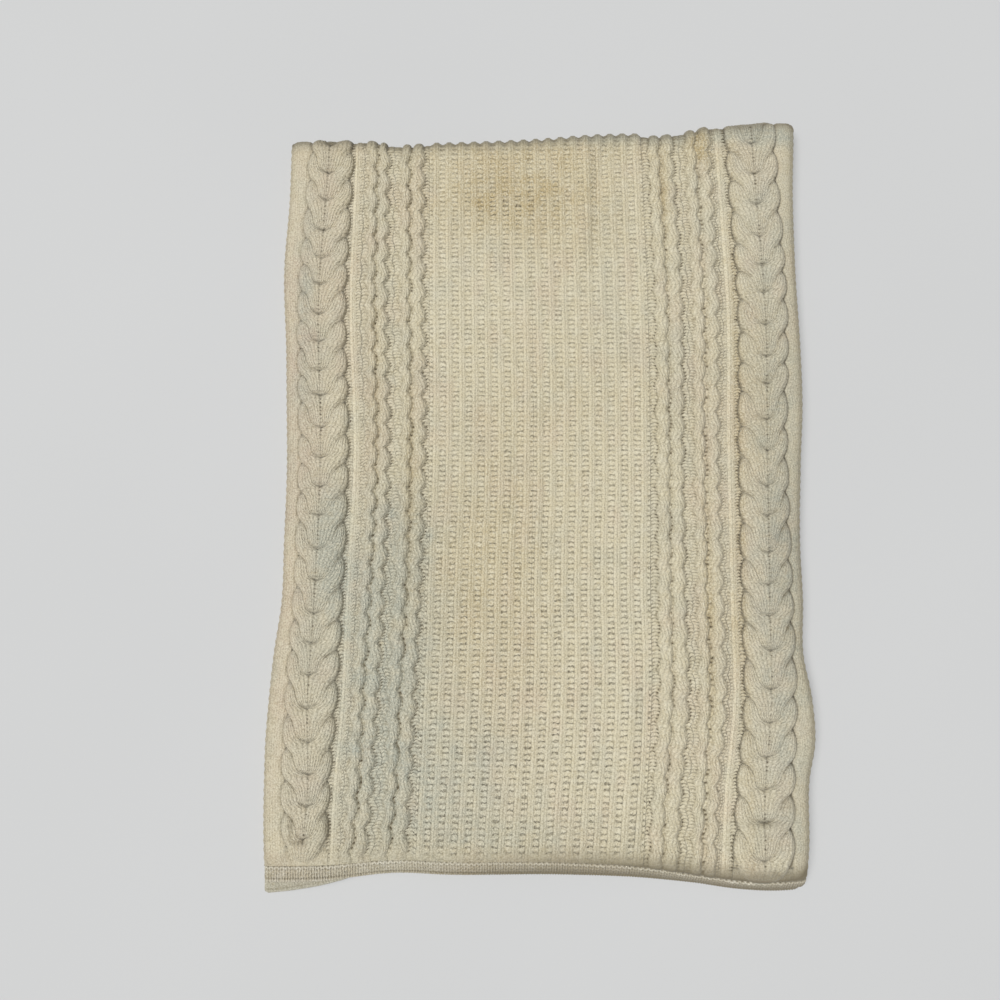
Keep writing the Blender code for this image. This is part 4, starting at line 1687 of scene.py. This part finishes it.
    def selvedge(self, cloth: Cloth, surface: Array, column: int, side: float) -> Array:
        """The round edge of the cloth: a half circle from its face to its underside.

        A chain of small loops follows the edge.

        Args:
            cloth: the whole cloth.
            surface: its knitted face.
            column: the outermost column.
            side: -1 for the left selvedge, 1 for the right.

        Returns:
            Points of rows x edge_columns, from the face down.
        """
        middle, up = cloth.points[:, column], cloth.normal[:, column]
        reach = np.linalg.norm(surface[:, column] - middle, axis=-1)
        turn = np.linspace(0, np.pi, self.edge_columns + 2)[1:-1]
        loops = self.chain * swing(middle[:, 1] / CHAIN)
        width = HALF_CLOTH + loops[:, None] * np.sin(turn)
        depth = np.where(turn < np.pi / 2, reach[:, None], HALF_CLOTH)
        out = np.array((side, 0.0, 0.0))
        return above_ground(middle[:, None] + up[:, None] * (depth * np.cos(turn))[..., None]
                            + out * (width * np.sin(turn))[..., None])


# -------- hems
def upward(tilt: Array) -> Array:
    """Which way cloth faces that is tilted down towards the near side, in radians."""
    return np.stack((np.zeros_like(tilt), -np.sin(tilt), np.cos(tilt)), axis=-1)


@dataclass(frozen=True)
class HemBand:
    """A plain knitted band at one free end, round at its own edge and at both sides."""

    name: str
    node: str
    slot: Slot
    outline: Outline
    material: bpy.types.Material
    upper: bool
    tuck: float                 # how far inside the top layer's selvedges it ends
    columns: int
    rows: int = 14              # of its face
    edge_rows: int = 6          # round its own edge
    under_rows: int = 4
    stitch: float = 3.0         # width of one stitch
    row: float = 2.3            # depth of one row
    end_y: float = -215.0       # its two ends lie where the outline is here
    corner: float = 1.8         # radius of its left corner
    right_corner: float = 6.5
    # how bright the painted highlight on the seam's zigzag is, along X
    thread: Curve = Curve((-156, -120, -60, -20, 30, 80, 110, 128, 140, 152),
                          (0.85, 0.85, 0.65, 0.5, 0.55, 0.7, 0.95, 0.8, 0.35, 0.2))

    def middle(self, x: Array, depth: Array) -> tuple[Array, Array]:
        """Middle of the wall at a depth from the band's inner end, and its tilt.

        The upper band goes on from the seam and turns down evenly over its depth, as a
        circle. The lower one lies flat.

        Args:
            x: places across, one for each column.
            depth: rows x columns, from the inner end.

        Returns:
            Points of rows x columns x 3, and the tilt in radians.
        """
        if self.upper:
            start = self.outline.seam_turn(x)
            turn = np.maximum(np.radians(self.outline.edge_tilt.at(x)) - start, 0.01)
            radius = HEM_DEPTH / turn
            tilt = start + turn * depth / HEM_DEPTH
            bend = ROLL / np.sin(start)
            drop = bend - np.sqrt(bend ** 2 - ROLL ** 2)
            sag = SAG * fading(np.minimum(x - x.min(), x.max() - x), SAG_REACH)
            y = self.outline.seam.at(x) - radius * (np.sin(tilt) - np.sin(start))
            z = TOP_FLOOR - sag - drop - radius * (np.cos(start) - np.cos(tilt))
        else:
            y = self.outline.lower_edge.at(x) + HEM_DEPTH - depth
            z, tilt = np.full_like(y, LOWER_HEM_MIDDLE), np.zeros_like(y)
        return np.stack((np.broadcast_to(x, y.shape), y, z), axis=-1), tilt

    def relief(self, x: Array, depth: Array) -> tuple[Array, Array, Array, Array]:
        """Stockinette with a ridge that zigzags along the seam and a chain along the edge.

        Args:
            x: places across.
            depth: places from the inner end.

        Returns:
            Heights, wales, courses, and how pale the zigzag and the chain are, as painted
            highlight.
        """
        wale = (x + 0.25 * mottle(x, depth, 14.0, 71)) / self.stitch * 2
        course = depth / self.row
        mirrored, ridge = legs_of(wale)
        swell = swing(course - 0.55 * mirrored)
        plain = (0.5 if self.upper else 0.22) * ridge * (1 + 0.4 * swell)
        zigzag = 0.6 - 0.5 * np.cos(np.pi * wale) + 0.3 * mottle(x, depth, 8.0, 72)
        bright = self.thread.at(x) * (0.8 + 0.5 * wander(x, 3.1, 74))
        seam = bell((depth - zigzag) / 0.5) * (bright if self.upper else 0.0)
        past = depth - HEM_DEPTH
        chain = 0.5 + 0.5 * swing(x / self.stitch + 0.12 * past)
        edge = 0.5 * bell((past + 0.9) / 0.7) * (0.85 + 0.15 * chain)
        dip = 0.35 * bell((past + 2.4) / 0.5)
        # painted highlight on the zigzag, and on the edge's chain at the left
        pale = 0.95 * seam + 1.5 * edge * (fading(x + 125, 30) if self.upper else 0.0)
        return plain + 0.75 * seam + edge - dip, wale, course, np.clip(pale, 0, 1)

    def section(self, left: float, right: float) -> tuple[Array, Array, Array]:
        """Even columns across, closer at both sides, and how the band rounds off there.

        Its thickness follows a half circle over the last half cloth. Its depth follows a
        quarter circle at each corner.

        Args:
            left: X of its left end.
            right: X of its right end.

        Returns:
            For each column its X, its share of the thickness, and its depth down to the
            start of the round edge.
        """
        close = 0.6 * (1 - np.cos(np.linspace(0, np.pi / 2, 6)[:-1]))
        x = np.linspace(left, right, self.columns)
        x = x[(x > left + HALF_CLOTH) & (x < right - HALF_CLOTH)]
        x = np.concatenate((left + close, x, (right - close)[::-1]))
        inward = np.minimum(x - left, right - x)
        thin = np.sqrt(np.clip(1 - (1 - np.clip(inward / HALF_CLOTH, 0, 1)) ** 2, 0.0009, 1))
        corner = np.where(x < 0, self.corner, self.right_corner)
        short = corner * (1 - np.sqrt(1 - (1 - np.clip(inward / corner, 0, 1)) ** 2))
        return x, thin, HEM_DEPTH - short - HALF_CLOTH

    def onward(self, values: Array, mode: str = "constant") -> Array:
        """The face's values, and then the rim's and the underside's: 0, or the last row's."""
        return np.pad(values, ((0, self.edge_rows + self.under_rows), (0, 0)), mode=mode)

    def shade(self, x: Array, height: Array, pale: Array, total: float) -> Array:
        """Painted shade: in the hollows, and on the upper band towards its edge and the right,
        where it curls under.

        Args:
            x: places across.
            height: the relief.
            pale: how pale the zigzag and the chain are, as painted highlight.
            total: the band's depth at its middle.

        Returns:
            The painted shade of the face, the rim and the underside.
        """
        painted_shade = self.onward(np.clip(sunk(height, 3, 2) / 0.8, 0, 0.8))
        if not self.upper:
            # the lower band is all in painted shade, under the top layer
            return 0.5 * painted_shade + 0.2
        row = np.arange(len(painted_shade))[:, None] / self.rows
        low = ease((row - 0.3) / 0.6)
        past_seam = ease((row * total - 1.3) / 0.8)
        # painted shade where the upper band curls under, more towards its edge and the right
        rightward = ease((x + 110) / 130)
        painted_shade += (0.26 + 0.2 * past_seam + 0.4 * low) * rightward + 0.1 * low
        painted_shade = np.clip(painted_shade, 0, 0.85)
        # less painted shade under the painted highlight
        painted_shade[:self.rows] *= 1 - 0.85 * pale
        return painted_shade

    def build(self) -> bpy.types.Object:
        """Carry the band's section across the scarf: its face, its rim and its underside.

        Returns:
            The band.
        """
        left = float(self.outline.left(self.end_y)) + self.tuck
        right = float(self.outline.right(self.end_y)) - self.tuck
        x, thin, total = self.section(left, right)
        half = (HALF_CLOTH * thin)[:, None]
        depth = total * np.linspace(0, 1, self.rows)[:, None]
        centre, tilt = self.middle(x, depth)
        height, wale, course, pale = self.relief(x, depth)
        face = centre + upward(tilt) * ((HALF_CLOTH + height) * thin)[..., None]
        turn = np.linspace(0, np.pi, self.edge_rows + 2)[1:-1, None, None]
        thick = ((HALF_CLOTH + height[-1] * 0.6) * thin)[:, None]
        rim = (centre[-1] + upward(tilt[-1]) * np.cos(turn) * thick
               + upward(tilt[-1] + np.pi / 2) * np.sin(turn) * half)
        back, back_tilt = self.middle(x, total * np.linspace(1, 0, self.under_rows)[:, None])
        shell = np.concatenate((face, rim, back - upward(back_tilt) * half))
        place = shell[..., 0], shell[..., 1]
        tints = {
            # painted shade
            "painted_shade": self.shade(x, height, pale, total[len(x) // 2]),
            # painted highlight on the zigzag and the chain
            "pale": self.onward(pale),
            "ochre": OCHRE.at(*place),
            "rose": 0.2 + 0.2 * mottle(*place, 20.0, 73),
            # the lower band greyer, as painted shade under the top layer
            "grey": 0.5 * GREY_AND_SHADE.at(*place) + (0.0 if self.upper else 0.45),
            "crisp": (0.6 + 0.35 * fading(place[0] + 125, 60)) * (1.0 if self.upper else 0.4),
        }
        stitches = np.stack((self.onward(wale, "edge"), self.onward(course, "edge")), axis=-1)
        piece = to_mesh(self.name, shell.transpose(1, 0, 2), stitches.transpose(1, 0, 2),
                        {key: value.T for key, value in tints.items()}, self.material)
        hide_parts(self.node)
        return piece


# -------- hidden layers
def corner_turn(start: Array, end: Array, upright: bool) -> Array:
    """A quarter turn from one run's end to the next one's start, as an ellipse.

    Args:
        start: where it starts.
        end: where it ends.
        upright: whether it sets off along Y. If not, it sets off along X.

    Returns:
        The points between them.
    """
    turn = np.linspace(0, np.pi / 2, 9)[1:-1, None]
    centre = np.array((end[0], start[1]) if upright else (start[0], end[1]))
    return centre + (start - centre) * np.cos(turn) + (end - centre) * np.sin(turn)


@dataclass(frozen=True)
class HiddenLayers:
    """The three stretches underneath, as one solid whose sides show each layer's edge."""

    outline: Outline
    material: bpy.types.Material
    tucks: tuple[float, ...] = (1.6, 2.7, 1.2)      # how far in each layer's sides lie
    corner: float = 5.0             # radius of its corners
    step: float = 0.95              # spacing of the points round the outline
    end_run: float = 300.0          # about how far they run along an end
    side_run: float = 420.0         # and along a side
    levels: int = 9                 # levels over the thickness of one layer
    groove: float = 0.08            # height of the step between two layers
    fold_gap: float = 0.8           # the bottom layer ends this far before the fold's axis
    nose_back: float = 2.2          # the inner fold's nose starts this far before it
    nose_reach: float = 4.0
    clearance: float = 0.3          # gap behind the lower hem band
    stitch: float = 2.3             # width of the stitches along its edges
    row: float = 1.4                # their height

    def nose(self, z: float, middle: float) -> float:
        """Share of a round nose's reach at a height: half an ellipse, two layers high."""
        return float(np.sqrt(max(0.0, 1 - ((z - middle) / CLOTH) ** 2)))

    def end_y(self, sign: int, layer: int, z: float, x: Array) -> Array:
        """Y of a layer's end.

        At the near end the lower two share a fold's round nose, and the third ends just behind
        the lower hem band. At the far end the first stops before the outer fold's end, and the
        upper two share the inner fold's nose.

        Args:
            sign: -1 for the near end, 1 for the far end.
            layer: 1 to 3, from below.
            z: height of the level.
            x: places across.

        Returns:
            Its Y at each place.
        """
        if sign < 0 and layer == 3:
            return self.outline.lower_edge.at(x) + HEM_DEPTH + self.clearance
        if sign < 0:
            return self.outline.near_fold.at(x) + CLOTH * (1 - self.nose(z, CLOTH))
        if layer == 1:
            return self.outline.fold_axis(x) - self.fold_gap
        nose = self.nose_reach * self.nose(z, 2 * CLOTH)
        return self.outline.fold_axis(x) - self.nose_back + nose

    def ring(self, layer: int, z: float, bulge: float) -> Array:
        """Points round one level, anticlockwise, from the near left corner.

        Straight runs follow the outline's curves, and each corner is a quarter circle.

        Args:
            layer: 1 to 3, from below.
            z: height of the level.
            bulge: how far the layer's round edge is drawn in there.

        Returns:
            Points of the ring, N x 3.
        """
        inset = self.tucks[layer - 1] + bulge
        ends = []
        for sign in (-1, 1):
            x_left = float(self.outline.left(sign * END_Y)) + inset + self.corner
            x_right = float(self.outline.right(sign * END_Y)) - inset - self.corner
            x = np.linspace(x_left, x_right, int(self.end_run / self.step))
            ends.append(np.stack((x, self.end_y(sign, layer, z, x)), axis=-1))
        near, far = ends[0], ends[1][::-1]
        sides = []
        for edge, sign in ((self.outline.right, -1), (self.outline.left, 1)):
            low = (near[-1, 1] if sign < 0 else near[0, 1]) + self.corner
            high = (far[0, 1] if sign < 0 else far[-1, 1]) - self.corner
            y = np.linspace(low, high, int(self.side_run / self.step))
            sides.append(np.stack((edge(y) + sign * inset, y), axis=-1))
        right, left = sides[0], sides[1][::-1]
        plan = np.concatenate((
            near, corner_turn(near[-1], right[0], False),
            right, corner_turn(right[-1], far[0], True),
            far, corner_turn(far[-1], left[0], False),
            left, corner_turn(left[-1], near[0], True)))
        return np.column_stack((plan, np.full(len(plan), z)))

    def stack_rings(self) -> Array:
        """Set the rings one on another; each layer's edge is round, as a flat half ellipse.

        Returns:
            Points of levels x ring.
        """
        rings = []
        for layer in (1, 2, 3):
            for level in range(self.levels + 1):
                rise = level / self.levels
                bulge = HALF_CLOTH * (1 - np.sqrt(1 - ((rise - 0.5) / 0.52) ** 2))
                step = self.groove if layer > 1 and level == 0 else 0.0
                rings.append(self.ring(layer, CLOTH * (layer - 1 + rise) + step, bulge))
        return np.array(rings)

    def build(self) -> bpy.types.Object:
        """Stack the rings, press the stitches into the edges, and close both faces.

        Returns:
            The hidden layers.
        """
        solid = self.stack_rings()
        ahead = np.roll(solid, -1, axis=1) - np.roll(solid, 1, axis=1)
        out = np.stack((ahead[..., 1], -ahead[..., 0]), axis=-1)
        out /= np.maximum(np.linalg.norm(out, axis=-1, keepdims=True), 1e-9)
        run = np.arange(solid.shape[1]) * self.step
        level = solid[:, :1, 2]
        chain = swing(run / CHAIN + 0.35 * np.floor(level / CLOTH))
        stitch = swing(run / self.stitch + level / self.row)
        rise = np.sin(np.pi * np.clip(fraction(level / CLOTH), 0.02, 0.98))
        bump = 0.16 * chain + 0.10 * stitch + 0.12 * mottle(run, level * 3, 2.0, 81)
        solid[..., :2] += out * (bump * rise)[..., None]
        x, y = solid[..., 0], solid[..., 1]
        tints = {
            # painted shade in the grooves between the layers
            "painted_shade": 0.75 * (1 - rise) ** 1.5 + 0 * x,
            "ochre": OCHRE.at(x, y),
            "rose": 0.4 + 0.2 * mottle(x, y, 20.0, 83),
            "grey": 0.2 + 0 * x,
            "crisp": 0.3 + 0 * x,
        }
        stitches = np.stack((run / self.stitch + 0 * x, level / self.row + 0 * x), axis=-1)
        piece = to_mesh("hidden_layers_knit", solid, stitches, tints, self.material)
        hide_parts("hidden_layers")
        return piece


# -------- studio
@dataclass(frozen=True)
class Studio:
    """A pale floor, soft light from the upper left, and the camera."""

    eye: tuple[float, float, float] = (-0.0230, -0.0466, 0.4470)
    tilt: float = 5.3               # degrees that the camera looks ahead of straight down
    lens: float = 27.0
    floor: Colour = (0.66, 0.67, 0.685)
    floor_half: float = 3.0         # half the floor's width, in metres
    sky: Colour = (0.93, 0.97, 1.0)
    sky_strength: float = 0.16
    key_from: tuple[float, float, float] = (-0.3, 0.0, 1.0)
    key_colour: Colour = (1.0, 0.985, 0.955)
    key_strength: float = 2.72
    key_angle: float = 50.0         # degrees that the soft key light spans

    def build(self) -> None:
        """Make the floor, the world, the light and the camera."""
        scene = bpy.context.scene
        scene.view_settings.view_transform = "Standard"
        self.lay_floor()
        world = bpy.data.worlds.new("studio")
        world.use_nodes = True
        back = world.node_tree.nodes["Background"]
        back.inputs["Color"].default_value = (*self.sky, 1.0)
        back.inputs["Strength"].default_value = self.sky_strength
        scene.world = world
        self.light_key()
        data = bpy.data.cameras.new("camera")
        data.lens = self.lens
        data.sensor_width = 36.0
        data.clip_start = 0.01
        camera = put("camera", data)
        camera.location = self.eye
        camera.rotation_euler = (np.radians(self.tilt), 0.0, 0.0)
        scene.camera = camera

    def lay_floor(self) -> None:
        """A wide plain sheet under the scarf, with a faint unevenness in its colour."""
        half = self.floor_half
        mesh = bpy.data.meshes.new("floor")
        mesh.from_pydata([(-half, -half, 0), (half, -half, 0), (half, half, 0), (-half, half, 0)],
                         [], [(0, 1, 2, 3)])
        nodes = Nodes("pale_floor")
        ramp = nodes.fill(nodes.add("ValToRGB"), {"Fac": nodes.noise(3.0, 2.0)})
        for stop, gain in zip(ramp.color_ramp.elements, (0.96, 1.03)):
            stop.color = (*(gain * part for part in self.floor), 1.0)
        nodes.fill(nodes.shader, {"Base Color": ramp.outputs["Color"], "Roughness": 0.75})
        mesh.materials.append(nodes.material)
        put("floor", mesh)

    def light_key(self) -> None:
        """A wide soft light from overhead left, even over the whole floor."""
        data = bpy.data.lights.new("key", "SUN")
        data.angle = np.radians(self.key_angle)
        data.energy = self.key_strength
        data.color = self.key_colour
        lamp = put("key", data)
        x, y, z = self.key_from
        lamp.location = self.key_from
        lamp.rotation_euler = (np.arctan2(np.hypot(x, y), z), 0.0, np.arctan2(-y, -x) - np.pi / 2)


def main() -> None:
    """Build the studio and the scarf from below, and report each piece."""
    logging.basicConfig(level=logging.INFO, format="%(name)s: %(message)s")
    outline = Outline()
    wool = Wool().make()
    # the layers underneath get a darker copy of the cream wool, as painted shade
    shaded_under_wool = Wool(name="shaded_under_wool", cream=(0.62, 0.56, 0.41), pale=(0.70, 0.64, 0.49)).make()
    hem_wool = Wool(name="hem_wool", cream=(0.70, 0.64, 0.48), pale=(0.88, 0.84, 0.72)).make()
    Studio().build()
    hidden = HiddenLayers(outline, shaded_under_wool).build()
    lower = HemBand("lower_hem_band", "lower_hem", Slot.LOWER_HEM, outline, hem_wool, upper=False,
                    tuck=-0.8, columns=260, rows=9, edge_rows=4, under_rows=3).build()
    strips = TopKnit(outline, wool).build()
    upper = HemBand("upper_hem_band", "upper_hem", Slot.HEM, outline, hem_wool, upper=True,
                    tuck=0.0, columns=600).build()
    for piece in (hidden, lower, *strips, upper):
        LOG.info("%s: %d faces", piece.name, len(piece.data.polygons))


if __name__ == "__main__":
    main()
